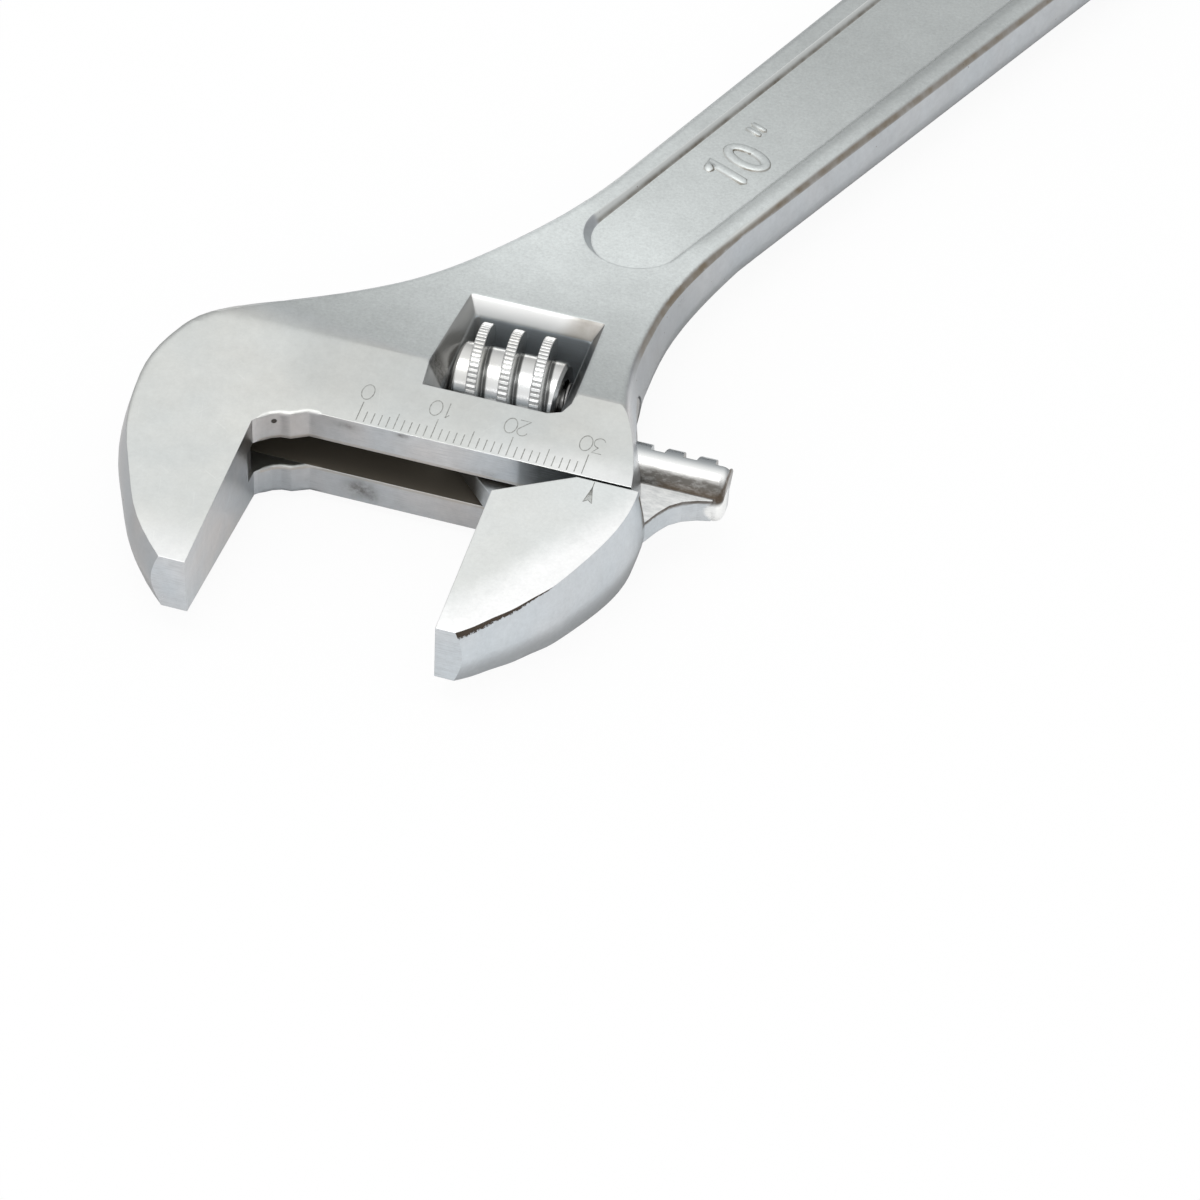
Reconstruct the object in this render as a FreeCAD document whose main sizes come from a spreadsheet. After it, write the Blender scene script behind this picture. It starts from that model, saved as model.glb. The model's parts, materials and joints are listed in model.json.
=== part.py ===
import FreeCAD, Part

import math
import os

import Sketcher

Vector = FreeCAD.Vector

doc = FreeCAD.newDocument("adjustable_wrench")
sheet = doc.addObject("Spreadsheet::Sheet", "Sizes")

# Millimetres and degrees. The origin is the middle of the fixed jaw's gripping face, on the middle
# plane of the head. X runs across the jaw opening, Y towards the handle, Z out of the upper face.
SIZES = {
    # whole tool
    "overall_length": 254.0,
    "back_draft": 14.0,
    "front_draft": 11.5,
    "handle_draft": 10.5,
    "jaw_draft": 10.5,
    # jaws
    "rest_opening": 32.6,
    "throat_y": 14.0,
    "jaw_depth": 27.9,
    "moving_jaw_depth": 28.5,
    "throat_half_thick": 7.0,
    "ground_slope": 0.094,
    "ridge_y": 27.0,
    "fall_length": 50.0,
    # handle
    "handle_angle": 22.9,
    "handle_offset": 8.1,
    "handle_start": 84.0,
    "handle_start_width": 21.2,
    "handle_end_width": 27.4,
    "handle_half_thick": 4.1,
    "rim_round": 1.5,
    "parting_round": 3.0,
    "panel_depth": 1.0,
    "panel_start": 73.4,
    "panel_start_radius": 6.2,
    "panel_end_radius": 8.0,
    "panel_stop": 8.0,
    "hang_hole_radius": 6.5,
    # guide for the moving jaw's bar
    "bar_radius": 3.9,
    "bar_clearance": 0.08,
    "web_half_thick": 1.8,
    "web_side_gap": 0.8,
    "throat_gap": 0.35,
    # rack and worm
    "tooth_pitch": 4.3,
    "mesh_x": 24.5,
    "worm_radius": 8.15,
    "worm_root_radius": 5.5,
    "worm_end_chamfer": 0.45,
    "crest_width": 1.4,
    "thread_base_width": 1.95,
    # window in the head for the worm
    "window_start_x": 20.2,
    "window_end_x": 36.2,
    "window_bevel_z": 4.15,
    # pin that the worm turns on, and its spring
    "pin_radius": 2.0,
    "pin_end_x": 44.6,
    "pin_slot_width": 0.9,
    "pin_slot_depth": 1.1,
    "pin_running_gap": 0.06,
    "pin_press_gap": 0.02,
    "spring_wire_radius": 0.32,
    "spring_turns": 3.5,
    "spring_pocket_depth": 3.6,
}

# Sizes that follow from the ones above, worked out by the sheet itself.
FOLLOWING = {
    "ridge_half_thick": "throat_half_thick + ground_slope * (ridge_y - throat_y)",
    "bar_y": "throat_y + 10",
    "bar_start_x": "rest_opening - 10",
    "bar_end_x": "rest_opening + 27.2",
    "bore_end_x": "bar_start_x - rest_opening - 0.3",
    "slot_half_thick": "web_half_thick + web_side_gap",
    "worm_y": "bar_y + worm_radius + 0.95",
    "rack_root_y": "worm_y - worm_radius - 0.25",
    "rack_tip_y": "worm_y - worm_root_radius - 0.4",
    "window_near_y": "bar_y - 0.7",
    "window_far_y": "worm_y + worm_radius + 0.35",
    "worm_start_x": "window_start_x + 0.3",
    "worm_end_x": "window_end_x - 1.3",
    "thread_start_x": "worm_start_x + 1.4",
    "thread_length": "worm_end_x - worm_start_x - 3.2",
    "pin_start_x": "window_start_x - 4.7",
    "pin_head_x": "window_end_x + 1.6",
    "pin_head_radius": "pin_radius + 1.3",
    "spring_pocket_radius": "pin_radius + 1.4",
    "spring_radius": "(pin_radius + spring_pocket_radius) / 2",
}

for row, (alias, value) in enumerate(SIZES.items(), start=1):
    sheet.set(f"A{row}", alias)
    sheet.set(f"B{row}", str(value))
    sheet.setAlias(f"B{row}", alias)
for row, (alias, formula) in enumerate(FOLLOWING.items(), start=len(SIZES) + 1):
    sheet.set(f"A{row}", alias)
    sheet.setAlias(f"B{row}", alias)
    sheet.set(f"B{row}", f"={formula}")
doc.recompute()


def size(alias):
    """A driving size, read from the sheet."""
    return float(sheet.get(alias))


def bind(thing, **links):
    """Ties properties of an object to expressions in the sheet's sizes; __ stands for a dot."""
    for name, formula in links.items():
        thing.setExpression(name.replace("__", "."), formula)
    return thing


def polygon(name, points, upright=False, keeper=None):
    """A closed sketch through the points, each corner held by a pair of expressions.

    It lies in the XY plane, or in the YZ plane if upright.
    """
    add = keeper.newObject if keeper else doc.addObject
    sketch = add("Sketcher::SketchObject", name)
    if upright:
        sketch.Placement = FreeCAD.Placement(Vector(), FreeCAD.Rotation(Vector(1, 1, 1), 120))
    count = len(points)
    ring = [
        Vector(100 * math.cos(2 * math.pi * i / count), 100 * math.sin(2 * math.pi * i / count), 0)
        for i in range(count)
    ]
    for i in range(count):
        sketch.addGeometry(Part.LineSegment(ring[i], ring[(i + 1) % count]))
    for i in range(count):
        sketch.addConstraint(Sketcher.Constraint("Coincident", i, 2, (i + 1) % count, 1))
    for i, corner in enumerate(points):
        for kind, start, formula in zip(("DistanceX", "DistanceY"), ring[i], corner):
            at = sketch.addConstraint(Sketcher.Constraint(kind, -1, 1, i, 1, start))
            sketch.setExpression(f"Constraints[{at}]", str(formula))
    return sketch


def extrusion(name, sketch, forward, back="0", direction=Vector(0, 0, 1)):
    """A prism on a sketch, with both lengths given as expressions."""
    prism = doc.addObject("Part::Extrusion", name)
    prism.Base = sketch
    prism.DirMode = "Custom"
    prism.Dir = direction
    prism.Solid = True
    bind(prism, LengthFwd=forward, LengthRev=back)
    return prism


def rod(name, radius, length, x, y, z="0"):
    """A round rod along X, from x."""
    cylinder = doc.addObject("Part::Cylinder", name)
    cylinder.Placement = FreeCAD.Placement(Vector(), FreeCAD.Rotation(Vector(0, 1, 0), 90))
    bind(
        cylinder,
        Radius=radius,
        Height=length,
        Placement__Base__x=x,
        Placement__Base__y=y,
        Placement__Base__z=z,
    )
    return cylinder


def cut(name, base, tools):
    """The base less the tools, one after another."""
    for i, tool in enumerate(tools):
        less = doc.addObject("Part::Cut", name if i == len(tools) - 1 else f"{name}_less_{i + 1}")
        less.Base = base
        less.Tool = tool
        base = less
    return base


def joined(name, kind, pieces):
    """A Part::MultiFuse or Part::MultiCommon of the pieces."""
    result = doc.addObject(kind, name)
    result.Shapes = pieces
    return result


def feature(name, shape):
    """A shape made by Part functions from the sheet's sizes, as an object of the document."""
    thing = doc.addObject("Part::Feature", name)
    thing.Shape = shape
    thing.Placement = shape.Placement
    return thing


# ------------------------------------------------------------------ forged blanks


def unit(v):
    return v / v.Length


def inset(points, distances):
    """The points of a closed outline, each moved inwards by its own distance."""
    count = len(points)
    area = sum(
        points[i].x * points[(i + 1) % count].y - points[(i + 1) % count].x * points[i].y
        for i in range(count)
    )
    side = 1 if area > 0 else -1
    moved = []
    for i, p in enumerate(points):
        before = unit(p - points[i - 1])
        after = unit(points[(i + 1) % count] - p)
        along = unit(before + after)
        spread = max(0.5, along.dot(before))
        moved.append(p + Vector(-along.y, along.x, 0) * (side * distances[i] / spread))
    return moved


def outline(runs, z):
    """A closed wire of smooth and straight runs at a height, drawn in by each run's draft.

    Each run is (points, smooth, draft in degrees), and ends where the next one starts. The sides
    turn over gently at the parting line, at height 0.
    """
    flat = [p for points, _, _ in runs for p in points[:-1]]
    turn = size("parting_round")
    rise = (math.hypot(z, turn) - turn) * blank_half / (math.hypot(blank_half, turn) - turn)
    falls = [rise * math.tan(math.radians(draft)) for points, _, draft in runs for p in points[:-1]]
    flat = [Vector(p.x, p.y, z) for p in inset(flat, falls)]
    edges, at = [], 0
    for points, smooth, _ in runs:
        steps = len(points) - 1
        own = [flat[(at + k) % len(flat)] for k in range(steps + 1)]
        at += steps
        if smooth:
            curve = Part.BSplineCurve()
            curve.interpolate(own)
            edges.append(curve.toShape())
        else:
            edges += [Part.makeLine(a, b) for a, b in zip(own, own[1:])]
    return Part.Wire(edges)


def forged_blank(runs):
    """A solid whose sides fall away by their draft above and below the middle plane."""
    levels = [way * share * blank_half for way, share in BLANK_LEVELS]
    return Part.makeLoft([outline(runs, z) for z in levels], True, False)


blank_half = size("ridge_half_thick") + 0.5
FALL_STEPS = 10
# Heights of a blank's sections, as (side, share of its half height).
BLANK_LEVELS = [(-1, 1.0), (-1, 0.55), (-1, 0.2), (1, 0.0), (1, 0.2), (1, 0.55), (1, 1.0)]

# The handle's own directions: along it from the head, and across it to its near side.
angle = math.radians(size("handle_angle"))
ALONG = Vector(math.sin(angle), math.cos(angle), 0)
ACROSS = Vector(math.cos(angle), -math.sin(angle), 0)
TIP_Y = size("throat_y") - size("jaw_depth")
TIP_X = -2.4  # outer corner of the fixed jaw's tip
end_station = size("overall_length") + ALONG.dot(Vector(TIP_X, TIP_Y, 0))
end_round = size("handle_end_width") / 2
hole_station = end_station - end_round


def on_handle(station, across=0.0):
    """A point on the handle, by its distances along the handle's centre line and across it."""
    return ALONG * station + ACROSS * (size("handle_offset") + across)


start = size("handle_start")
start_half = size("handle_start_width") / 2
left_start = on_handle(start, -start_half)
right_start = on_handle(start, start_half)

# Outer edge of the fixed jaw, the head's back and the sweep into the handle.
BACK = [
    (-1.5, -16.6),
    (-5.6, -13.0),
    (-9.5, -8.6),
    (-13.2, -1.9),
    (-16.1, 4.3),
    (-17.8, 11.4),
    (-18.0, 17.0),
    (-16.4, 22.9),
    (-13.4, 28.1),
    (-8.4, 32.2),
    (-2.9, 35.7),
    (2.9, 39.7),
    (10.4, 46.1),
    (18.4, 56.4),
    (25.0, 67.1),
]
# Edge of the head where the bar comes out, from the handle down to the throat.
FRONT = [
    (47.75, 63.9),
    (45.75, 56.9),
    (44.7, 50.95),
    (44.4, 45.0),
    (44.5, 39.0),
    (45.2, 33.55),
    (46.65, 27.75),
    (48.2, 23.5),
    (49.7, 18.8),
    (50.7, 11.0),
]

end_arc = [
    on_handle(hole_station + end_round * math.sin(t), -end_round * math.cos(t))
    for t in (math.radians(a) for a in range(0, 181, 20))
]
back = [Vector(x, y, 0) for x, y in BACK] + [left_start]
front = [right_start] + [Vector(x, y, 0) for x, y in FRONT]
inside_throat = [front[-1], Vector(3.2, 11.0, 0), Vector(3.2, -17.5, 0), back[0]]
handle_draft = size("handle_draft")
body_runs = [
    (back, True, size("back_draft")),
    ([left_start, end_arc[0]], False, handle_draft),
    (end_arc, True, handle_draft),
    ([end_arc[-1], right_start], False, handle_draft),
    (front, True, size("front_draft")),
    (inside_throat, False, handle_draft),
]
forged_body = feature("forged_body", forged_blank(body_runs))

# Side profile: ground flats from the tip to the ridge, then a forged fall that eases to the handle.
ground = "throat_half_thick + ground_slope * ({} - throat_y)"
side = [("-20", ground.format("-20"))]
for k in range(FALL_STEPS + 1):
    left = (1 - k / FALL_STEPS) ** 2
    half = f"handle_half_thick + {left} * (ridge_half_thick - handle_half_thick)"
    side.append((f"ridge_y + {k / FALL_STEPS} * fall_length", half))
side.append(("overall_length", "handle_half_thick"))


def on_sheet(formula):
    """The formula with each size's name pointed at the sheet."""
    words = []
    for word in formula.replace("(", "( ").replace(")", " )").split():
        words.append(f"Sizes.{word}" if word in SIZES or word in FOLLOWING else word)
    return " ".join(words)


def corners(points):
    return [(on_sheet(x), on_sheet(y)) for x, y in points]


profile = polygon(
    "side_profile",
    corners(side + [(y, f"-1 * ({z})") for y, z in reversed(side)]),
    upright=True,
)
slab = extrusion("side_slab", profile, "200", "100", Vector(1, 0, 0))
shaped = joined("shaped_body", "Part::MultiCommon", [forged_body, slab])
doc.recompute()


def rim_edges(shape):
    """Numbers of the edges between the outer sides and the forged faces, behind the ridge."""
    found = []
    for number, edge in enumerate(shape.Edges, start=1):
        box = edge.BoundBox
        middle = edge.CenterOfMass
        if box.YMin < size("ridge_y") - 0.01 or abs(middle.z) < 0.6 * size("handle_half_thick"):
            continue
        across = abs(edge.tangentAt(edge.ParameterRange[0]).x) > 0.999 and box.YLength < 0.01
        if not across:
            found.append(number)
    return found


rims = doc.addObject("Part::Fillet", "rounded_body")
rims.Base = shaped
rims.Edges = [(n, size("rim_round"), size("rim_round")) for n in rim_edges(shaped.Shape)]
doc.recompute()

# ------------------------------------------------------------------ openings in the body

# Jaw opening: the gripping face, the small ramp left at its root, and the straight throat.
throat = extrusion(
    "throat_tool",
    polygon(
        "throat_outline",
        corners(
            [
                ("0", "-40"),
                ("0", "throat_y - 3.6"),
                ("0.4", "throat_y - 3.1"),
                ("1.1", "throat_y - 2.6"),
                ("1.9", "throat_y - 1.9"),
                ("3.0", "throat_y - 1.35"),
                ("4.3", "throat_y - 1.2"),
                ("6.4", "throat_y"),
                ("90", "throat_y"),
                ("90", "-40"),
            ]
        ),
    ),
    "20",
    "20",
)
tip_trim = extrusion(
    "tip_tool",
    polygon(
        "tip_outline",
        corners(
            [
                ("-30", "throat_y - jaw_depth"),
                ("10", "throat_y - jaw_depth"),
                ("10", "-60"),
                ("-30", "-60"),
            ]
        ),
    ),
    "20",
    "20",
)
bore = rod(
    "bar_bore",
    "Sizes.bar_radius + Sizes.bar_clearance",
    "90",
    "Sizes.bore_end_x",
    "Sizes.bar_y",
)
slot = extrusion(
    "web_slot",
    polygon(
        "slot_outline",
        corners(
            [
                ("-0.5", "throat_y - 5.5"),
                ("-0.5", "throat_y - 3.1"),
                ("bore_end_x", "bar_y - 3"),
                ("bore_end_x", "bar_y"),
                ("90", "bar_y"),
                ("90", "throat_y - 5.5"),
            ]
        ),
    ),
    "Sizes.slot_half_thick",
    "Sizes.slot_half_thick",
)

window_edges = ("window_start_x", "window_end_x", "window_near_y", "window_far_y")


def mouth_outline(name, out_left, out_right, out_near, out_far, ease):
    """The window's outline, moved out by a distance on each side, its near right corner eased.

    The distances on the left and the right are pairs, for the near end and for the far end.
    """
    left, right, near, far = window_edges
    near_left, far_left = out_left
    near_right, far_right = out_right
    bow = 0.3 * ease
    return polygon(
        name,
        corners(
            [
                (f"{left} - {near_left}", f"{near} - {out_near}"),
                (f"{right} + {near_right - ease}", f"{near} - {out_near}"),
                (f"{right} + {near_right - bow}", f"{near} - {out_near - bow}"),
                (f"{right} + {near_right}", f"{near} - {out_near - ease}"),
                (f"{right} + {far_right}", f"{far} + {out_far}"),
                (f"{left} - {far_left}", f"{far} + {out_far}"),
            ]
        ),
    )


window = extrusion(
    "window_tool",
    polygon(
        "window_outline",
        corners(
            [
                ("window_start_x", "window_near_y"),
                ("window_end_x", "window_near_y"),
                ("window_end_x", "window_far_y"),
                ("window_start_x", "window_far_y"),
            ]
        ),
    ),
    "20",
    "20",
)
window_corners = doc.addObject("Part::Fillet", "window_rounded")
window_corners.Base = window
doc.recompute()
window_corners.Edges = [
    (n, 0.8, 0.8)
    for n, edge in enumerate(window.Shape.Edges, start=1)
    if edge.BoundBox.ZLength > 1
]


def bevel(name, way):
    """The widening mouth of the window, on the upper face or the lower."""
    inner = mouth_outline(f"{name}_inner", (0, 0), (0, 0), 0, 0, 1.2)
    outer = mouth_outline(f"{name}_outer", (1.7, 3.3), (2.1, 2.95), 0.63, 4.9, 2.6)
    bind(inner, Placement__Base__z=f"{way} * Sizes.window_bevel_z")
    bind(outer, Placement__Base__z=f"{way} * (Sizes.window_bevel_z + 4.4)")
    mouth = doc.addObject("Part::Loft", name)
    mouth.Sections = [inner, outer]
    mouth.Solid = True
    mouth.Ruled = True
    return mouth


mouths = [bevel("upper_window_bevel", 1), bevel("lower_window_bevel", -1)]

pin_bore = rod(
    "pin_bore",
    "Sizes.pin_radius + Sizes.pin_press_gap",
    "Sizes.pin_head_x - Sizes.pin_start_x + 1",
    "Sizes.pin_start_x - 0.3",
    "Sizes.worm_y",
)
pin_head_bore = rod(
    "pin_head_bore",
    "Sizes.pin_head_radius + Sizes.pin_press_gap",
    "30",
    "Sizes.pin_head_x",
    "Sizes.worm_y",
)

hang_hole = doc.addObject("Part::Cylinder", "hang_hole")
hang_hole.Placement.Base = on_handle(hole_station) + Vector(0, 0, -20)
bind(hang_hole, Radius="Sizes.hang_hole_radius", Height="40")


def panel_wire(z, grow):
    """A long rounded outline on the handle's faces, widening towards the hanging end."""
    near = size("panel_start_radius") + grow
    far = size("panel_end_radius") + grow
    stop = hole_station - size("hang_hole_radius") - size("panel_stop")
    first = on_handle(size("panel_start"))
    last = on_handle(stop - size("panel_end_radius"))
    lift = Vector(0, 0, z)
    a, b = first - ACROSS * near + lift, first + ACROSS * near + lift
    c, d = last + ACROSS * far + lift, last - ACROSS * far + lift
    return Part.Wire(
        [
            Part.Arc(a, first - ALONG * near + lift, b).toShape(),
            Part.makeLine(b, c),
            Part.Arc(c, last + ALONG * far + lift, d).toShape(),
            Part.makeLine(d, a),
        ]
    )


floor_z = size("handle_half_thick") - size("panel_depth")
panels = [
    feature(
        f"{side_name}_panel",
        Part.makeLoft(
            [panel_wire(way * floor_z, 0), panel_wire(way * (floor_z + 4), 3.2)], True, True
        ),
    )
    for side_name, way in (("upper", 1), ("lower", -1))
]

body = cut(
    "body",
    rims,
    [
        throat,
        tip_trim,
        bore,
        slot,
        window_corners,
        *mouths,
        pin_bore,
        pin_head_bore,
        hang_hole,
        *panels,
    ],
)

# ------------------------------------------------------------------ moving jaw

rest = size("rest_opening")
throat_y = size("throat_y")
# Outer edge of the moving jaw, from the throat to the tip, off its gripping face and the throat.
JAW_BACK = [
    (18.9, -0.5),
    (16.9, -9.9),
    (15.3, -13.4),
    (13.5, -16.9),
    (12.3, -18.9),
    (10.6, -21.0),
    (8.8, -23.3),
    (6.6, -25.5),
    (4.7, -27.5),
    (2.6, -29.2),
    (1.4, -30.1),
]
jaw_back = [Vector(rest + x, throat_y + y, 0) for x, y in JAW_BACK]
jaw_far = Vector(rest + 18.9, throat_y + 1.5, 0)
jaw_runs = [
    (
        [
            jaw_back[-1],
            Vector(rest - 4, throat_y - 33, 0),
            Vector(rest - 4, throat_y + 3, 0),
            jaw_far,
            jaw_back[0],
        ],
        False,
        size("jaw_draft"),
    ),
    (jaw_back, True, size("jaw_draft")),
]
jaw_blank = feature("forged_jaw", forged_blank(jaw_runs))
jaw_slab_outline = polygon(
    "jaw_profile",
    corners(
        [
            ("-20", ground.format("-20")),
            ("throat_y + 3", ground.format("( throat_y + 3 )")),
            ("throat_y + 3", "-1 * (" + ground.format("( throat_y + 3 )") + ")"),
            ("-20", "-1 * (" + ground.format("-20") + ")"),
        ]
    ),
    upright=True,
)
jaw_slab = extrusion("jaw_slab", jaw_slab_outline, "200", "100", Vector(1, 0, 0))
jaw_plate_outline = polygon(
    "jaw_plate_outline",
    corners(
        [
            ("rest_opening", "throat_y - moving_jaw_depth"),
            ("rest_opening", "throat_y - 5.6"),
            ("rest_opening + 9.6", "throat_y - throat_gap"),
            ("rest_opening + 30", "throat_y - throat_gap"),
            ("rest_opening + 30", "throat_y - moving_jaw_depth"),
        ]
    ),
)
jaw_limits = extrusion("jaw_limits", jaw_plate_outline, "20", "20")
jaw_plate = joined("jaw_plate", "Part::MultiCommon", [jaw_blank, jaw_slab, jaw_limits])

# Web between the plate and the bar, with its flare out to the bar's end.
web = extrusion(
    "jaw_web",
    polygon(
        "web_outline",
        corners(
            [
                ("rest_opening", "throat_y - 8"),
                ("rest_opening", "throat_y - 3.2"),
                ("bar_start_x + 0.6", "bar_y - 3.6"),
                ("bar_start_x + 0.6", "bar_y"),
                ("bar_end_x - 1.2", "bar_y"),
                ("bar_end_x - 1.2", "bar_y - 3.85"),
                ("bar_end_x - 3.0", "bar_y - 4.35"),
                ("bar_end_x - 4.8", "bar_y - 5.2"),
                ("bar_end_x - 6.2", "bar_y - 6.4"),
                ("bar_end_x - 7.3", "bar_y - 8.1"),
                ("rest_opening + 18.4", "throat_y - 1.2"),
                ("rest_opening + 17.0", "throat_y - 6"),
            ]
        ),
    ),
    "Sizes.web_half_thick",
    "Sizes.web_half_thick",
)
bar = rod(
    "bar_round",
    "Sizes.bar_radius",
    "Sizes.bar_end_x - Sizes.bar_start_x",
    "Sizes.bar_start_x",
    "Sizes.bar_y",
)
bar_ends = doc.addObject("Part::Fillet", "bar_rounded")
bar_ends.Base = bar
doc.recompute()
bar_ends.Edges = [
    (n, 1.1, 1.1)
    for n, edge in enumerate(bar.Shape.Edges, start=1)
    if edge.BoundBox.XLength < 0.01 and abs(edge.CenterOfMass.x - size("bar_end_x")) < 0.01
]

# Rack: grooves on the worm's side of the bar, slanted by the worm's lead and one pitch apart.
slant = size("tooth_pitch") / (2 * math.pi * size("worm_radius"))
groove_outline = polygon(
    "groove_outline",
    corners(
        [
            ("mesh_x - 0.9", "rack_root_y"),
            ("mesh_x + 0.9", "rack_root_y"),
            ("mesh_x + 1.35", "rack_tip_y + 1.3"),
            ("mesh_x - 1.35", "rack_tip_y + 1.3"),
        ]
    ),
)
groove = extrusion("groove", groove_outline, "8", "8", Vector(-slant, 0, 1))
doc.recompute()
pitch = size("tooth_pitch")
groove_count = 1 + int((size("bar_end_x") - size("mesh_x")) / pitch)
grooves = doc.addObject("Part::Compound", "rack_grooves")
grooves.Links = [
    feature(f"groove_{k + 1}", groove.Shape.translated(Vector(k * pitch, 0, 0)))
    for k in range(groove_count)
]
tip_flat = doc.addObject("Part::Box", "rack_tip_flat")
bind(
    tip_flat,
    Length="Sizes.bar_end_x",
    Width="10",
    Height="20",
    Placement__Base__x="10",
    Placement__Base__y="Sizes.rack_tip_y",
    Placement__Base__z="-10",
)
jaw_solid = joined("jaw_solid", "Part::MultiFuse", [jaw_plate, web, bar_ends])
moving_jaw = cut("moving_jaw", jaw_solid, [tip_flat, grooves])

# ------------------------------------------------------------------ worm, pin and spring


def turned(name, label, profile):
    """A PartDesign body turned about the worm's line from a half outline (x, radius)."""
    turned_body = doc.addObject("PartDesign::Body", name)
    turned_body.Label = label
    sketch = polygon(f"{name}_profile", corners(profile), keeper=turned_body)
    plane = [f for f in turned_body.Origin.OriginFeatures if f.Role == "XY_Plane"][0]
    sketch.AttachmentSupport = [(plane, "")]
    sketch.MapMode = "FlatFace"
    turn = turned_body.newObject("PartDesign::Revolution", f"{name}_turned")
    turn.Profile = sketch
    turn.ReferenceAxis = (sketch, ["H_Axis"])
    turn.Angle = 360
    turned_body.Tip = turn
    bind(turned_body, Placement__Base__y="Sizes.worm_y")
    return turned_body


def helix(radius, step, length):
    """A right-handed helix about X, starting on the side of the handle."""
    wire = Part.makeHelix(step, length, radius)
    turn = FreeCAD.Rotation(Vector(1, 1, 1), 120)
    wire.Placement = FreeCAD.Placement(Vector(), turn)
    return wire


def thread():
    """The worm's single square-topped ridge, swept along its helix."""
    low = size("worm_root_radius") - 1.1
    high = size("worm_radius")
    spine = helix(high, pitch, size("thread_length"))
    half_low = size("thread_base_width") / 2
    half_high = size("crest_width") / 2
    ring = [
        Vector(-half_low, low, 0),
        Vector(half_low, low, 0),
        Vector(half_high, high, 0),
        Vector(-half_high, high, 0),
    ]
    section = Part.makePolygon(ring + [ring[0]])
    sweep = Part.BRepOffsetAPI.MakePipeShell(spine)
    sweep.setFrenetMode(True)
    sweep.setAuxiliarySpine(helix(high + 3, pitch, size("thread_length")), True, False)
    sweep.add(section, False, False)
    sweep.build()
    sweep.makeSolid()
    ridge = sweep.shape()
    # Turned so that the ridge crosses the rack at mesh_x.
    travel = (size("mesh_x") - size("thread_start_x")) / pitch * 360
    ridge.rotate(Vector(), Vector(1, 0, 0), 180 - travel)
    ridge.translate(Vector(size("thread_start_x"), size("worm_y"), 0))
    return ridge


worm_root = rod(
    "worm_root",
    "Sizes.worm_root_radius",
    "Sizes.worm_end_x - Sizes.worm_start_x",
    "Sizes.worm_start_x",
    "Sizes.worm_y",
)
threaded = joined("threaded_worm", "Part::MultiFuse", [worm_root, feature("worm_thread", thread())])
worm_ends = doc.addObject("Part::Chamfer", "worm_chamfered")
worm_ends.Base = threaded
doc.recompute()
worm_ends.Edges = [
    (n, size("worm_end_chamfer"), size("worm_end_chamfer"))
    for n, edge in enumerate(threaded.Shape.Edges, start=1)
    if edge.BoundBox.XLength < 0.01
    and min(abs(edge.CenterOfMass.x - size(f"worm_{end}_x")) for end in ("start", "end")) < 0.01
]
worm_bore = rod(
    "worm_bore",
    "Sizes.pin_radius + Sizes.pin_running_gap",
    "30",
    "Sizes.worm_start_x - 5",
    "Sizes.worm_y",
)
spring_pocket = rod(
    "spring_pocket",
    "Sizes.spring_pocket_radius",
    "10",
    "Sizes.worm_end_x - Sizes.spring_pocket_depth",
    "Sizes.worm_y",
)
worm = cut("worm", worm_ends, [worm_bore, spring_pocket])

pin_body = turned(
    "pin_body",
    "pin_body",
    [
        ("pin_start_x", "0"),
        ("pin_start_x", "pin_radius - 0.3"),
        ("pin_start_x + 0.3", "pin_radius"),
        ("pin_head_x + 0.3", "pin_radius"),
        ("pin_head_x + 0.3", "pin_head_radius"),
        ("pin_end_x - 0.3", "pin_head_radius"),
        ("pin_end_x", "pin_head_radius - 0.3"),
        ("pin_end_x", "0"),
    ],
)
screw_slot = doc.addObject("Part::Box", "screw_slot")
bind(
    screw_slot,
    Length="Sizes.pin_slot_depth + 1",
    Width="Sizes.pin_slot_width",
    Height="20",
    Placement__Base__x="Sizes.pin_end_x - Sizes.pin_slot_depth",
    Placement__Base__y="Sizes.worm_y - Sizes.pin_slot_width / 2",
    Placement__Base__z="-10",
)
worm_pin = cut("worm_pin", pin_body, [screw_slot])


def spring():
    """A round wire wound about X between the worm's pocket floor and the window's wall."""
    wire_radius = size("spring_wire_radius")
    first = size("worm_end_x") - size("spring_pocket_depth") + wire_radius + 0.05
    last = size("window_end_x") - wire_radius - 0.05
    step = (last - first) / size("spring_turns")
    spine = helix(size("spring_radius"), step, last - first)
    slope = step / (2 * math.pi * size("spring_radius"))
    section = Part.Wire(
        Part.makeCircle(wire_radius, Vector(0, size("spring_radius"), 0), Vector(slope, 0, 1))
    )
    coil = Part.Wire(spine).makePipeShell([section], True, True)
    coil.translate(Vector(first, size("worm_y"), 0))
    return coil


worm_spring = feature("worm_spring", spring())

# ------------------------------------------------------------------ checks and files

doc.recompute()
for thing in doc.Objects:
    if "Invalid" in thing.State or "Error" in thing.State:
        raise SystemExit(f"{thing.Name} did not recompute: {thing.State}")

os.makedirs("parts", exist_ok=True)
for name, thing in (
    ("body", body),
    ("moving_jaw", moving_jaw),
    ("worm", worm),
    ("worm_pin", worm_pin),
    ("worm_spring", worm_spring),
):
    thing.Label = name
    if thing.Shape.isNull() or not thing.Shape.isValid():
        raise SystemExit(f"{name} has no valid shape")
    if len(thing.Shape.Solids) != 1:
        raise SystemExit(f"{name} is {len(thing.Shape.Solids)} solids")
    thing.Shape.exportStep(f"parts/{name}.step")
    print(name, round(thing.Shape.Volume, 1), thing.Shape.BoundBox)
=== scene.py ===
import json
import math

import bmesh
import bpy
from mathutils import Matrix, Vector


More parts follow.
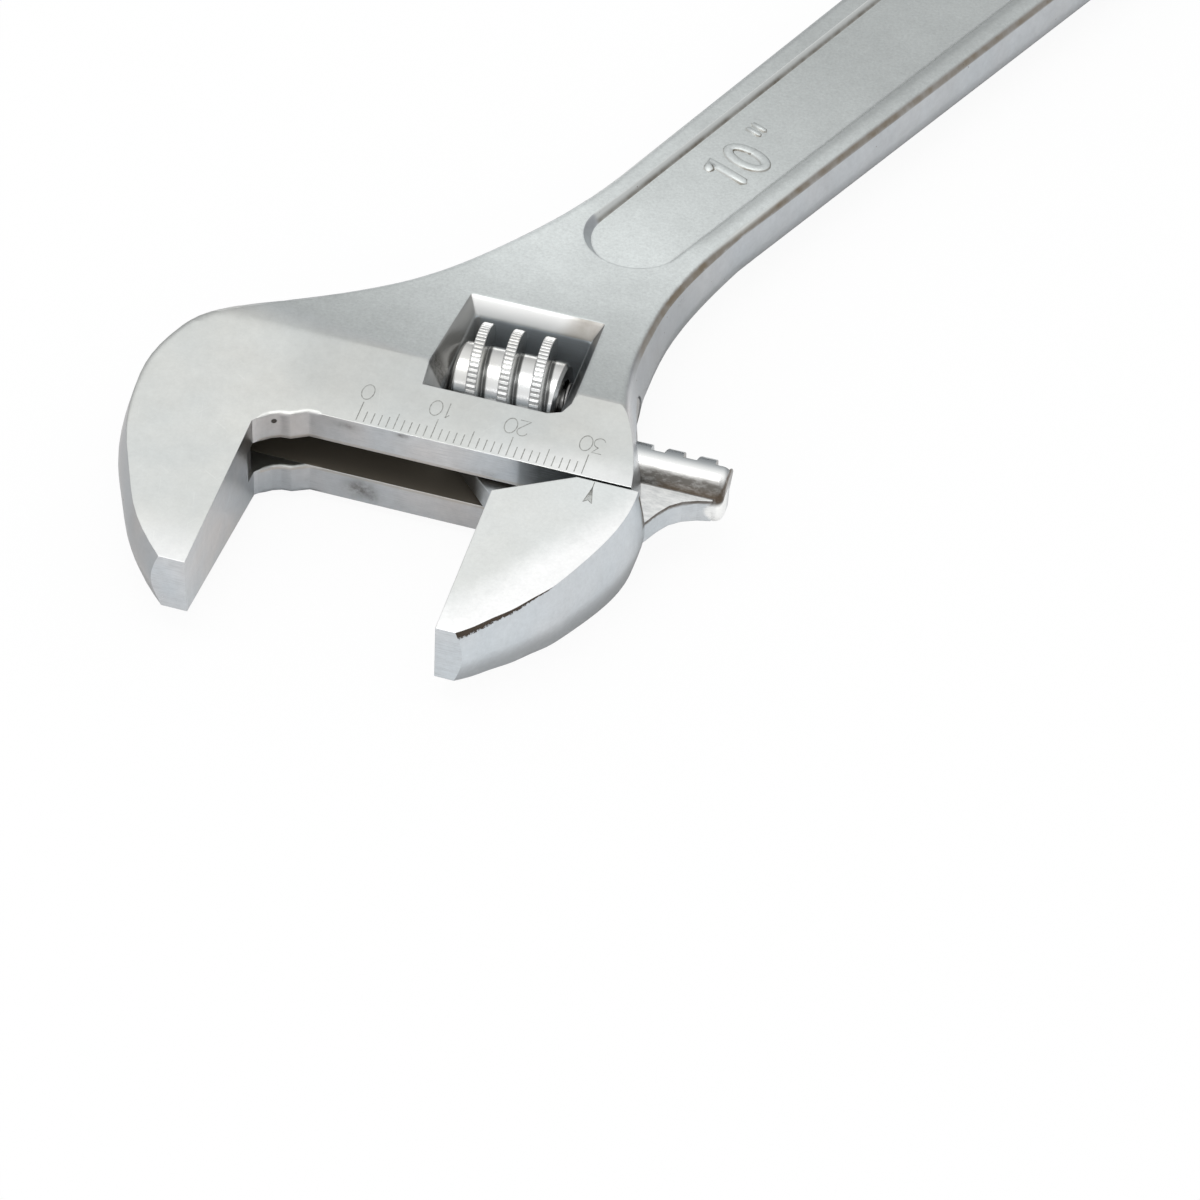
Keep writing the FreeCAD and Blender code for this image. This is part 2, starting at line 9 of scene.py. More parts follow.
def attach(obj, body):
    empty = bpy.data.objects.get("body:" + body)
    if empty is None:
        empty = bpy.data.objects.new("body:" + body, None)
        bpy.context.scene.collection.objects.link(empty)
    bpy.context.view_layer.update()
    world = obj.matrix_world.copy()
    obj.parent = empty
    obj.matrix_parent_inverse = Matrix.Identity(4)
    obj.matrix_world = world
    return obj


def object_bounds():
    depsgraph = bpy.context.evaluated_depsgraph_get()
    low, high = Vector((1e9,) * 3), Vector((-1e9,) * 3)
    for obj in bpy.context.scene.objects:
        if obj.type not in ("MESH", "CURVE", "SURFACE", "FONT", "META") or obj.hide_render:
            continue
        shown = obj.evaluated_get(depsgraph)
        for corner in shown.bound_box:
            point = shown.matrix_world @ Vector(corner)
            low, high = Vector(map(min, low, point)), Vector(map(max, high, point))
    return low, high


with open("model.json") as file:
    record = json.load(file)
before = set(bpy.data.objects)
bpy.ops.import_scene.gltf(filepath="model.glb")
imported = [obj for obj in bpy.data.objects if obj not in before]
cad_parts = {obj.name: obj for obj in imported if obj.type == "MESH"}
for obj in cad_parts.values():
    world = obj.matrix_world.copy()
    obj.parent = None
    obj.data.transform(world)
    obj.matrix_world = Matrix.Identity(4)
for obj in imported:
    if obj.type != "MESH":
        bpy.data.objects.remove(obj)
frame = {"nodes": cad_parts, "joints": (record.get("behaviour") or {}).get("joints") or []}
cad_low, cad_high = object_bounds()

MM = 0.001
nodes = frame["nodes"]
joint = {j["name"]: j for j in frame["joints"]}

# ------------------------------------------------------------------ places on the wrench, in mm

THROAT_Y = 14.0
FACE_AT_THROAT = 7.0
FACE_SLOPE = 0.094
RIDGE_Y = 27.0
SLOT_HALF = 2.6
SLOT_LEFT_X = -11.4
SLOT_FAR_Y = 29.0
WINDOW_X = (20.0, 36.4)
WINDOW_Y = (23.1, 41.8)
MOUTH_X = (14.5, 38.6)
MOUTH_Y = (26.5, 45.5)
HANDLE_ANGLE = math.radians(22.9)
HANDLE_OFFSET = 8.1
HANDLE_SIN = math.sin(HANDLE_ANGLE)
HANDLE_COS = math.cos(HANDLE_ANGLE)
PANEL_FLOOR = 3.1
PANEL_START = 73.4
BAR_Y = 24.0
BAR_RADIUS = 3.9
PIT = (2.3, 12.3, 5.55)
WORM_Y = joint["worm_spin"]["pos_m"][1] / MM
WORM_RADIUS = 8.15
THREAD_PITCH = 4.3
THREAD_START = 21.9
THREAD_LENGTH = 11.2
RACK_MESH_X = 24.5
CREST_WIDTH = 1.4


def on_face(x, y, lift=0.0):
    """A point on the head's upper ground face, in metres."""
    z = FACE_AT_THROAT + FACE_SLOPE * (y - THROAT_Y) + lift
    return Vector((x, y, z)) * MM


def on_panel(along, across, lift=0.0):
    """A point on the floor of the handle's upper panel, in metres."""
    side = HANDLE_OFFSET + across
    x = HANDLE_SIN * along + HANDLE_COS * side
    y = HANDLE_COS * along - HANDLE_SIN * side
    return Vector((x, y, PANEL_FLOOR + lift)) * MM


# ------------------------------------------------------------------ shader building


class Graph:
    """Adds nodes to a tree and links them, so that a formula reads in order."""

    def __init__(self, tree):
        self.tree = tree

    def feed(self, socket, value):
        if isinstance(value, bpy.types.NodeSocket):
            self.tree.links.new(value, socket)
        else:
            socket.default_value = value

    def add(self, kind, feeds=(), **settings):
        node = self.tree.nodes.new(kind)
        for name, value in settings.items():
            setattr(node, name, value)
        for socket, value in dict(feeds).items():
            self.feed(node.inputs[socket], value)
        return node

    def math(self, operation, a, b=0.0, clamp=False):
        node = self.add("ShaderNodeMath", {0: a, 1: b}, operation=operation, use_clamp=clamp)
        return node.outputs[0]

    def vector(self, operation, a, b=None, scale=None):
        feeds = {0: a}
        if b is not None:
            feeds[1] = b
        if scale is not None:
            feeds["Scale"] = scale
        node = self.add("ShaderNodeVectorMath", feeds, operation=operation)
        return node.outputs["Value" if operation in ("DOT_PRODUCT", "LENGTH") else "Vector"]

    def times(self, *values):
        result = values[0]
        for value in values[1:]:
            result = self.math("MULTIPLY", result, value)
        return result

    def step(self, value, low, high):
        """0 below low and 1 above high with a smooth rise; high may be the lower one."""
        node = self.add(
            "ShaderNodeMapRange",
            {"Value": value, "From Min": low, "From Max": high},
            interpolation_type="SMOOTHSTEP",
        )
        return node.outputs[0]

    def ramp(self, value, low, high, to_low, to_high):
        feeds = {
            "Value": value,
            "From Min": low,
            "From Max": high,
            "To Min": to_low,
            "To Max": to_high,
        }
        return self.add("ShaderNodeMapRange", feeds).outputs[0]

    def within(self, value, low, high, soft):
        """1 between low and high, and 0 outside them."""
        return self.times(
            self.step(value, low - soft, low + soft), self.step(value, high + soft, high - soft)
        )

    def noise(self, vector, scale, detail=3.0, roughness=0.5):
        feeds = {"Vector": vector, "Scale": scale, "Detail": detail, "Roughness": roughness}
        return self.add("ShaderNodeTexNoise", feeds).outputs[0]

    def blend(self, factor, a, b):
        node = self.add("ShaderNodeMix", data_type="RGBA")
        self.feed(node.inputs[0], factor)
        self.feed(node.inputs[6], a)
        self.feed(node.inputs[7], b)
        return node.outputs[2]

    def lerp(self, factor, a, b):
        node = self.add("ShaderNodeMix", data_type="FLOAT")
        self.feed(node.inputs[0], factor)
        self.feed(node.inputs[2], a)
        self.feed(node.inputs[3], b)
        return node.outputs[0]

    def stretch(self, vector, x, y, z):
        return self.vector("MULTIPLY", vector, (x, y, z))


def place(g):
    """Position in mm, in the wrench's own frame."""
    return g.vector("SCALE", g.add("ShaderNodeTexCoord").outputs["Object"], scale=1 / MM)


def parts(g, vector):
    return g.add("ShaderNodeSeparateXYZ", {0: vector}).outputs


def new_group(name, inputs, outputs):
    tree = bpy.data.node_groups.new(name, "ShaderNodeTree")
    for label, kind, default in inputs:
        socket = tree.interface.new_socket(label, in_out="INPUT", socket_type=kind)
        if default is not None:
            socket.default_value = default
    for label, kind in outputs:
        tree.interface.new_socket(label, in_out="OUTPUT", socket_type=kind)
    g = Graph(tree)
    return tree, g, tree.nodes.new("NodeGroupInput"), tree.nodes.new("NodeGroupOutput")


FLOAT, COLOR, VECTOR = "NodeSocketFloat", "NodeSocketColor", "NodeSocketVector"


def plate_mottle_group():
    """Cloudy patches, fine grain and pits of a satin plated surface."""
    tree, g, given, made = new_group(
        "plate_mottle",
        [("Position", VECTOR, None), ("Patch", FLOAT, 0.16)],
        [("Cloud", FLOAT), ("Grain", FLOAT), ("Pits", FLOAT), ("Hue", FLOAT)],
    )
    position, patch = given.outputs[:2]
    broad = g.noise(position, patch, 4.0, 0.6)
    close = g.noise(position, g.math("MULTIPLY", patch, 5.5), 3.0, 0.55)
    cloud = g.math("ADD", g.times(broad, 0.6), g.times(close, 0.4))
    g.feed(made.inputs["Cloud"], g.ramp(cloud, 0.3, 0.7, -1.0, 1.0))
    g.feed(made.inputs["Grain"], g.noise(position, 2.3, 4.0, 0.75))
    cells = g.add("ShaderNodeTexVoronoi", {"Vector": position, "Scale": 0.8}).outputs["Distance"]
    rare = g.step(g.noise(position, 0.35, 1.0), 0.62, 0.68)
    g.feed(made.inputs["Pits"], g.times(g.step(cells, 0.14, 0.08), rare))
    g.feed(made.inputs["Hue"], g.ramp(g.noise(position, 0.09, 2.0), 0.3, 0.7, 0.0, 1.0))
    return tree


def scratches_group():
    """Short crossing scratches and long grinding lines; Lines is squeezed across the grind."""
    tree, g, given, made = new_group(
        "scratches",
        [("Position", VECTOR, None), ("Lines", VECTOR, None)],
        [("Grind", FLOAT), ("Scuff", FLOAT)],
    )
    position, lines = given.outputs[:2]
    g.feed(made.inputs["Grind"], g.noise(lines, 1.0, 3.0, 0.65))
    strokes = None
    for turn, seed in ((0.5, 3.0), (-0.9, 11.0), (1.3, 23.0)):
        turned = g.add(
            "ShaderNodeVectorRotate",
            {"Vector": position, "Angle": turn},
            rotation_type="Z_AXIS",
        ).outputs[0]
        thin = g.vector("ADD", g.stretch(turned, 0.22, 4.5, 1.0), (seed, seed, seed))
        stroke = g.step(g.noise(thin, 1.0, 0.0), 0.80, 0.86)
        strokes = stroke if strokes is None else g.math("MAXIMUM", strokes, stroke)
    g.feed(made.inputs["Scuff"], strokes)
    return tree


def edge_finder_group():
    """Finds the edges of the steel, and rounds the light over them."""
    tree, g, given, made = new_group(
        "edge_finder", [("Radius", FLOAT, 0.4 * MM)], [("Edge", FLOAT), ("Normal", VECTOR)]
    )
    bevel = g.add("ShaderNodeBevel", {"Radius": given.outputs[0]}, samples=6).outputs[0]
    facing = g.add("ShaderNodeNewGeometry").outputs["Normal"]
    match = g.vector("DOT_PRODUCT", bevel, facing)
    g.feed(made.inputs["Edge"], g.step(match, 0.985, 0.80))
    g.feed(made.inputs["Normal"], bevel)
    return tree


RUST_DARK = (0.055, 0.035, 0.022, 1)
RUST_PALE = (0.20, 0.13, 0.075, 1)


def rust_group():
    """Brown staining that gathers where Amount is high, with a ragged border."""
    tree, g, given, made = new_group(
        "rust",
        [("Position", VECTOR, None), ("Amount", FLOAT, 0.0)],
        [("Mask", FLOAT), ("Tint", COLOR)],
    )
    position, amount = given.outputs[:2]
    ragged = g.noise(position, 1.6, 4.0, 0.7)
    g.feed(made.inputs["Mask"], g.step(g.math("ADD", amount, g.times(ragged, 0.8)), 0.95, 1.1))
    g.feed(made.inputs["Tint"], g.blend(g.noise(position, 3.0, 2.0), RUST_DARK, RUST_PALE))
    return tree


GROUPS = {
    "mottle": plate_mottle_group(),
    "scratches": scratches_group(),
    "edges": edge_finder_group(),
    "rust": rust_group(),
}


def use(g, name, **feeds):
    node = g.tree.nodes.new("ShaderNodeGroup")
    node.node_tree = GROUPS[name]
    for label, value in feeds.items():
        g.feed(node.inputs[label], value)
    return node.outputs


def new_material(name):
    material = bpy.data.materials.new(name)
    material.use_nodes = True
    g = Graph(material.node_tree)
    shader = material.node_tree.nodes["Principled BSDF"]
    return material, g, shader


def bumped(g, height, distance, normal=None):
    """The surface's facing, tilted by a relief that is up to the distance high, in mm."""
    feeds = {"Height": height, "Distance": distance * MM}
    if normal is not None:
        feeds["Normal"] = normal
    return g.add("ShaderNodeBump", feeds).outputs[0]


GROUND = (0.668, 0.690, 0.676, 1)
GROUND_WARM = (0.705, 0.704, 0.668, 1)
FORGED = (0.585, 0.612, 0.605, 1)
WALL = (0.600, 0.635, 0.665, 1)
WALL_WARM = (0.690, 0.640, 0.610, 1)
# Painted highlight laid on the ground faces at the jaw tips, beside the throat and along the jaw's
# outer curve.
PAINTED_HIGHLIGHT = (0.960, 0.962, 0.955, 1)
# Painted shade on walls that face downwards.
UNDERSIDE_PAINTED_SHADE = (0.300, 0.310, 0.318, 1)
# Painted shade inside the worm's window: its walls, its left wall, and its right wall and bevel.
WINDOW_WALL = (0.440, 0.490, 0.525, 1)
SLOT_PAINTED_SHADE = (0.150, 0.132, 0.105, 1)
LEFT_WALL = (0.36, 0.36, 0.35, 1)
RIGHT_WALL = (0.085, 0.090, 0.095, 1)
RIGHT_BEVEL = (0.25, 0.26, 0.265, 1)
# Painted shade low on the window's sill, rising to a painted highlight at its top.
SILL_LOW = (0.40, 0.41, 0.405, 1)
SILL_HIGH = (0.90, 0.90, 0.885, 1)
# Painted shade on the window's near-left facet.
FACET = (0.11, 0.105, 0.10, 1)
SMUDGE = (0.10, 0.09, 0.08, 1)
# Painted shade at the throat wall's far end.
THROAT_END_PAINTED_SHADE = (0.085, 0.088, 0.082, 1)
PIT_BLACK = (0.03, 0.022, 0.016, 1)
LIP_BROWN = (0.42, 0.35, 0.27, 1)
# Brown stain with painted shade: on the handle's near rim, and in the groove round its panel.
RIM_BROWN = (0.19, 0.15, 0.10, 1)
GROOVE_BROWN = (0.17, 0.15, 0.12, 1)
# Painted light on the walls of the handle's panel.
PANEL_WALL_PAINTED_LIGHT = (0.78, 0.80, 0.78, 1)
TURNED_DARK = (0.36, 0.37, 0.38, 1)
FORGED_REACH = 200.0
# Painted light and shade: lightness of the forged surface along the handle's direction, in (mm,
# share).
FORGED_LEVELS = (
    (34, 0.97),
    (48, 1.20),
    (60, 1.42),
    (70, 1.36),
    (80, 1.20),
    (98, 1.06),
    (125, 0.88),
)


def gauss(g, value, middle, width):
    """1 at the middle value, falling softly to 0 about a width away on both sides."""
    off = g.math("DIVIDE", g.math("SUBTRACT", value, middle), width)
    return g.math("POWER", math.e, g.times(off, off, -1.0))


def opposite(g, value):
    return g.math("SUBTRACT", 1.0, value)


class Spot:
    """Where a point of the surface lies, in mm, and how it faces, in the wrench's own frame."""

    def __init__(self, g):
        self.position = place(g)
        self.facing = g.add("ShaderNodeTexCoord").outputs["Normal"]
        self.x, self.y, self.z = parts(g, self.position)
        self.nx, self.ny, self.nz = parts(g, self.facing)
        self.high = g.math("ABSOLUTE", self.z)
        self.flat = g.math("ABSOLUTE", self.nz)


def window_mouth(g, at):
    """1 over the widening mouth of the worm's window."""
    return g.times(g.within(at.x, *MOUTH_X, 0.3), g.within(at.y, *MOUTH_Y, 0.3))


def body_edge_radius(g, at, behind, worn_ridge):
    """How far the light rounds each edge, in metres: most where the forging is worn or blended."""
    back = g.times(g.step(at.x, -2.0, -8.0), g.step(at.y, -2.0, 16.0))
    radius = g.math("MAXIMUM", g.times(behind, 0.5), g.times(back, 1.3))
    soft_ridge = g.times(worn_ridge, g.within(at.y, RIDGE_Y - 2.6, RIDGE_Y + 2.6, 0.3), 2.4)
    root = g.times(g.within(at.x, 0.6, 8.0, 0.4), g.within(at.y, 10.6, 14.6, 0.2), 0.9)
    for wanted in (g.times(window_mouth(g, at), 0.9), soft_ridge, root, 0.16):
        radius = g.math("MAXIMUM", radius, wanted)
    return g.times(radius, MM)


def ground_tone(g, at, mottle, tip):
    """The ground face: painted highlight at the tip and by the throat, painted shade along the
    ridge.
    """
    face = g.blend(g.times(mottle["Hue"], 0.7), GROUND, GROUND_WARM)
    throat = g.times(g.step(at.x, 24.0, 40.0), g.step(at.y, 19.0, 14.5))
    # Painted highlight at the tip and beside the throat.
    bright = g.math("MAXIMUM", g.times(tip, 0.72), g.times(throat, 0.55))
    face = g.blend(bright, face, PAINTED_HIGHLIGHT)
    # Painted shade along the ridge.
    dim = g.ramp(at.x, 28.0, 44.0, 0.12, 0.05)
    dim = g.times(g.step(at.y, 13.0, 21.0), g.step(at.x, -4.0, 6.0), dim)
    return g.vector("SCALE", face, scale=opposite(g, dim))


def wall_tone(g, at, mottle):
    """The plated walls with painted shade: cooler and darker underneath, outside the fixed jaw and
    along the neck.
    """
    warmth = g.ramp(at.y, 24.0, 50.0, 0.75, 0.25)
    wall = g.blend(g.times(mottle["Hue"], warmth), WALL, WALL_WARM)
    # Painted shade underneath, on walls that face downwards.
    wall = g.blend(g.times(g.step(at.nz, -0.05, -0.22), 0.75), wall, UNDERSIDE_PAINTED_SHADE)
    # Painted shade: darker outside the fixed jaw, along the neck and on the throat wall.
    wall = g.vector("SCALE", wall, scale=g.ramp(at.nx, -0.8, -0.2, 0.50, 1.0))
    neck = g.lerp(g.step(at.y, 26.0, 38.0), 1.0, g.ramp(at.y, 46.0, 66.0, 0.63, 0.82))
    wall = g.vector("SCALE", wall, scale=neck)
    at_throat = g.times(g.step(at.ny, -0.5, -0.8), g.step(at.y, 9.0, 12.0))
    upper_shade = g.ramp(at.x, 2.0, 24.0, 0.72, 0.95)
    lower_shade = g.ramp(at.x, 2.0, 24.0, 0.86, 0.84)
    throat_shade = g.lerp(g.step(at.z, 0.5, -0.5), upper_shade, lower_shade)
    return g.vector("SCALE", wall, scale=g.lerp(at_throat, 1.0, throat_shade))


def forged_tone(g, at, along):
    """The forged neck and handle: painted light and shade, lighter or darker with the distance
    along them.
    """
    # Painted light and shade along the handle.
    fade = g.add("ShaderNodeValToRGB", {0: g.math("DIVIDE", along, FORGED_REACH)})
    stops = fade.color_ramp.elements
    stops[0].position, stops[1].position = 0.13, 1.0
    for stop in stops:
        stop.color = (0.45, 0.45, 0.45, 1)
    for station, share in FORGED_LEVELS:
        stops.new(station / FORGED_REACH).color = (share / 2, share / 2, share / 2, 1)
    # Painted shade on the near flank.
    near_flank = g.times(g.step(at.x, 20.0, 40.0), g.step(at.y, 66.0, 42.0), 0.18)
    lightness = g.times(fade.outputs[0], 2.0, opposite(g, near_flank))
    return g.vector("SCALE", FORGED[:3], scale=lightness)


# Smudges on the throat wall, as (x, z, half width, half height, depth of tone).
SMUDGES = (
    (11.5, 6.0, 1.6, 0.5, 0.55),
    (18.9, 6.6, 0.9, 0.35, 0.75),
    (13.3, -4.7, 2.0, 1.4, 0.75),
    (15.0, -5.5, 0.8, 1.0, 0.5),
    (30.0, 3.4, 3.0, 0.6, 0.2),
)


def throat_marks(g, at, grain, color):
    """The throat wall's smudges, painted shade at its far end, the brown slot lip, and the pit at
    its root.
    """
    throat_wall = g.times(
        g.step(at.ny, -0.6, -0.8), g.within(at.y, 11.0, 14.2, 0.2), g.step(at.x, 0.3, 0.8)
    )
    for at_x, at_z, wide, tall, depth in SMUDGES:
        smudge = g.times(gauss(g, at.x, at_x, wide), gauss(g, at.z, at_z, tall), throat_wall)
        ragged = g.ramp(g.noise(at.position, 1.1, 3.0, 0.7), 0.3, 0.6, 0.4, 1.2)
        smudge = g.times(smudge, ragged, depth)
        color = g.blend(g.math("MINIMUM", smudge, 1.0), color, SMUDGE)
    # Painted shade at the far end of the throat wall.
    throat_end_shade = g.times(throat_wall, g.step(at.x, 34.1, 34.8), g.step(at.z, 0.0, 1.0))
    color = g.blend(g.times(throat_end_shade, g.ramp(at.x, 34.8, 37.2, 0.50, 0.93)), color, THROAT_END_PAINTED_SHADE)
    off_pit = g.vector("LENGTH", g.vector("SUBTRACT", at.position, PIT))
    color = g.blend(g.step(off_pit, 0.46, 0.30), color, PIT_BLACK)
    lip = g.times(throat_wall, g.within(at.high, SLOT_HALF, SLOT_HALF + 0.45, 0.12), grain)
    return g.blend(g.times(lip, 0.9), color, LIP_BROWN)


def hollow_tones(g, at, walls, grain, color):
    """Painted shade in the web's slot and the worm's window, a painted highlight on the sill; also
    gives where they are.
    """
    slot = g.times(
        g.step(at.high, SLOT_HALF + 0.06, SLOT_HALF + 0.02),
        g.step(at.x, SLOT_LEFT_X, SLOT_LEFT_X + 0.5),
        g.step(at.y, THROAT_Y + 0.02, THROAT_Y + 0.1),
        g.step(at.y, SLOT_FAR_Y, SLOT_FAR_Y - 0.6),
    )
    window = g.times(
        g.within(at.x, *WINDOW_X, 0.05),
        g.within(at.y, *WINDOW_Y, 0.05),
        g.step(at.high, 6.2, 5.0),
    )
    mouth = window_mouth(g, at)
    # Painted shade inside the window and on its right wall, lighter on its bevel, and on its left
    # wall.
    right_wall = g.times(g.within(at.x, 35.5, 39.0, 0.1), g.within(at.y, 24.0, 41.2, 0.3), walls)
    right_tone = g.blend(g.step(at.flat, 0.5, 0.3), RIGHT_BEVEL, RIGHT_WALL)
    color = g.blend(g.times(window, 0.85), color, WINDOW_WALL)
    color = g.blend(g.times(right_wall, 0.9), color, right_tone)
    left_wall = g.times(mouth, g.step(at.x, 21.4, 20.6), g.step(at.y, 27.5, 29.5), walls)
    color = g.blend(g.times(left_wall, 0.8), color, LEFT_WALL)
    # Painted shade in the slot.
    color = g.blend(slot, color, SLOT_PAINTED_SHADE)
    # Painted shade low on the sill and a painted highlight at its top.
    sill = g.times(mouth, g.within(at.y, 40.0, 45.5, 0.1), g.within(at.flat, 0.2, 0.86, 0.05))
    sill = g.times(sill, g.step(at.ny, -0.3, -0.5))
    sill_tone = g.blend(g.ramp(at.high, 4.2, 5.5, 0.0, 1.0), SILL_LOW, SILL_HIGH)
    color = g.blend(g.times(sill, 0.9), color, sill_tone)
    # Painted shade on the window's near-left facet.
    facet = g.times(mouth, g.step(at.x, 21.4, 20.0), g.step(at.y, 31.0, 28.5), walls)
    color = g.blend(g.times(facet, g.ramp(grain, 0.35, 0.6, 0.95, 0.6)), color, FACET)
    return color, g.math("MAXIMUM", slot, window)


def handle_stains_and_painted_light(g, at, along, level, color):
    """Brown stain and painted shade on the near rim and round the panel, painted light on the
    panel's walls; also gives the rim's stain and shade.
    """
    sideways = g.vector("DOT_PRODUCT", at.position, (HANDLE_COS, -HANDLE_SIN, 0.0))
    across = g.math("SUBTRACT", sideways, HANDLE_OFFSET)
    near_side = g.vector("DOT_PRODUCT", at.facing, (HANDLE_COS, -HANDLE_SIN, 0.0))
    # Brown stain along the near rim, partly rust and partly painted shade.
    rim = g.times(
        g.within(at.nz, 0.32, 0.80, 0.12),
        g.step(near_side, 0.1, 0.3),
        g.step(at.y, 32.0, 46.0),
        g.step(across, 4.0, 7.0),
    )
    uneven = g.ramp(g.noise(at.position, 0.3, 3.0, 0.6), 0.3, 0.7, 0.65, 1.15)
    rim_stain_and_shade = g.times(rim, uneven)
    color = g.blend(g.math("MINIMUM", g.times(rim_stain_and_shade, 0.85), 0.95), color, RIM_BROWN)
    # Painted light on the panel's walls.
    in_panel = g.times(
        g.step(along, PANEL_START - 1.0, PANEL_START),
        g.step(at.flat, 0.93, 0.80),
        g.step(g.math("ABSOLUTE", across), 10.2, 9.6),
    )
    color = g.blend(g.times(in_panel, 0.9), color, PANEL_WALL_PAINTED_LIGHT)
    # Brown grime and painted shade at the foot of the panel's walls, stronger on the far wall.
    groove = g.times(in_panel, g.step(at.high, PANEL_FLOOR + 0.75, PANEL_FLOOR + 0.15))
    far_wall = g.step(near_side, -0.05, 0.25)
    groove = g.times(groove, g.lerp(far_wall, 0.25, 0.85), uneven)
    color = g.blend(g.math("MINIMUM", groove, 1.0), color, GROOVE_BROWN)
    # Painted soft shade beside the foot of the near rim.
    rim_foot = g.math("SUBTRACT", across, g.ramp(along, PANEL_START + 6.0, 200.0, 7.5, 9.3))
    beyond = g.step(along, PANEL_START + 1.0, PANEL_START + 7.0)
    soft_shade = g.times(gauss(g, rim_foot, 0.0, 0.75), level, beyond, 0.22)
    return g.vector("SCALE", color, scale=opposite(g, soft_shade)), rim_stain_and_shade


def turned_tip(g, at, color):
    """Fine lines turned across a jaw's tip face; also gives their relief."""
    tip_face = g.step(at.ny, -0.85, -0.95)
    cut = g.noise(g.stretch(at.position, 0.35, 1.0, 7.0), 1.0, 3.0, 0.7)
    color = g.blend(g.times(tip_face, g.ramp(cut, 0.48, 0.66, 0.10, 0.45)), color, TURNED_DARK)
    return color, g.times(tip_face, cut, 0.6)


def satin_plate():
    """The body: ground upper and lower faces, a blasted forged neck and handle, plated walls."""
    material, g, shader = new_material("satin_plate")
    at = Spot(g)
    level = g.step(at.flat, 0.72, 0.90)
    worn_ridge = g.step(at.x, 20.0, -8.0)
    past = g.math("SUBTRACT", at.y, RIDGE_Y - 0.25)
    behind = g.step(g.math("DIVIDE", past, g.lerp(worn_ridge, 1.1, 7.5)), 0.0, 1.0)
    ground = g.times(level, opposite(g, behind))
    forged = g.times(level, behind)
    walls = opposite(g, level)
    along = g.vector("DOT_PRODUCT", at.position, (HANDLE_SIN, HANDLE_COS, 0.0))

    mottle = use(g, "mottle", Position=at.position, Patch=0.16)
    lines = g.stretch(at.position, 9.0, 0.12, 1.0)
    marks = use(g, "scratches", Position=at.position, Lines=lines)
    radius = body_edge_radius(g, at, behind, worn_ridge)
    rounded = use(g, "edges", Radius=radius)["Normal"]

    tip = g.step(g.math("ADD", at.y, g.times(mottle["Cloud"], 0.7)), -5.5, -14.5)
    color = g.blend(ground, wall_tone(g, at, mottle), ground_tone(g, at, mottle, tip))
    color = g.blend(forged, color, forged_tone(g, at, along))
    clouds = g.times(mottle["Cloud"], g.math("ADD", 0.055, g.times(walls, 0.05)))
    shade = g.math("ADD", 1.0, clouds)
    grain = g.math("SUBTRACT", mottle["Grain"], 0.5)
    shade = g.math("ADD", shade, g.times(grain, g.math("ADD", 0.16, g.times(forged, 0.34))))
    shade = g.math("ADD", shade, g.times(marks["Scuff"], ground, 0.05))
    color = g.vector("SCALE", color, scale=shade)
    color = throat_marks(g, at, mottle["Grain"], color)
    color, inside = hollow_tones(g, at, walls, mottle["Grain"], color)
    color, rim_stain_and_shade = handle_stains_and_painted_light(g, at, along, level, color)

    rust = use(g, "rust", Position=at.position, Amount=g.times(mottle["Pits"], walls, 0.8))
    stained = g.times(rust["Mask"], opposite(g, inside))
    color = g.blend(g.times(stained, 0.6), color, rust["Tint"])
    color, tip_relief = turned_tip(g, at, color)
    dull = g.math("MAXIMUM", g.math("MAXIMUM", stained, inside), g.math("MINIMUM", rim_stain_and_shade, 1.0))

    roughness = g.lerp(forged, g.lerp(ground, 0.30, 0.33), 0.46)
    roughness = g.math("ADD", roughness, g.times(mottle["Cloud"], 0.03))
    roughness = g.math("ADD", roughness, g.times(dull, 0.22), True)

    roughened = g.times(mottle["Grain"], g.math("ADD", g.times(forged, 1.8), 0.20))
    grind = g.times(marks["Grind"], ground, g.math("ADD", 0.15, g.times(tip, 0.35)))
    height = g.math("ADD", g.math("ADD", roughened, grind), g.times(marks["Scuff"], ground, -0.06))
    height = g.math("ADD", height, tip_relief)
    g.feed(shader.inputs["Base Color"], color)
    g.feed(shader.inputs["Roughness"], roughness)
    g.feed(shader.inputs["Metallic"], opposite(g, g.times(dull, 0.5)))
    g.feed(shader.inputs["Normal"], bumped(g, height, 0.012, rounded))
    return material


JAW_GROUND = (0.740, 0.765, 0.755, 1)
JAW_WALL = (0.610, 0.650, 0.680, 1)
# Painted highlight over the bar, and painted shade on its side towards the rack.
BAR_PAINTED_HIGHLIGHT = (1.0, 1.0, 0.985, 1)
BAR_PAINTED_SHADE = (0.46, 0.485, 0.495, 1)
BAR_BROWN = (0.055, 0.046, 0.034, 1)
WEB_BRIGHT = (0.95, 0.95, 0.93, 1)
WEB_DULL = (0.68, 0.69, 0.68, 1)
DIRT = (0.085, 0.060, 0.038, 1)
CHIP_DARK = (0.030, 0.022, 0.016, 1)
CHIP_PALE = (0.085, 0.058, 0.038, 1)
OUT_OF_LIGHT = (0.16, 0.15, 0.14, 1)
OUTER_CURVE = (33.0, -9.0, 0.0)
OUTER_WAY = (0.805, -0.594, 0.0)


def jaw_ground_tone(g, at, mottle):
    """The jaw's ground face: a painted highlight, brightest towards the tip and along its outer
    curve.
    """
    outward = g.vector("DOT_PRODUCT", g.vector("SUBTRACT", at.position, OUTER_CURVE), OUTER_WAY)
    # Painted highlight towards the tip and along the outer curve.
    bright = g.step(g.math("ADD", outward, g.times(mottle["Cloud"], 0.5)), -1.2, 4.2)
    bright = g.math("MAXIMUM", bright, g.step(at.y, -7.0, -14.0))
    face = g.blend(g.times(mottle["Hue"], 0.4), JAW_GROUND, GROUND_WARM)
    return g.blend(bright, face, PAINTED_HIGHLIGHT)


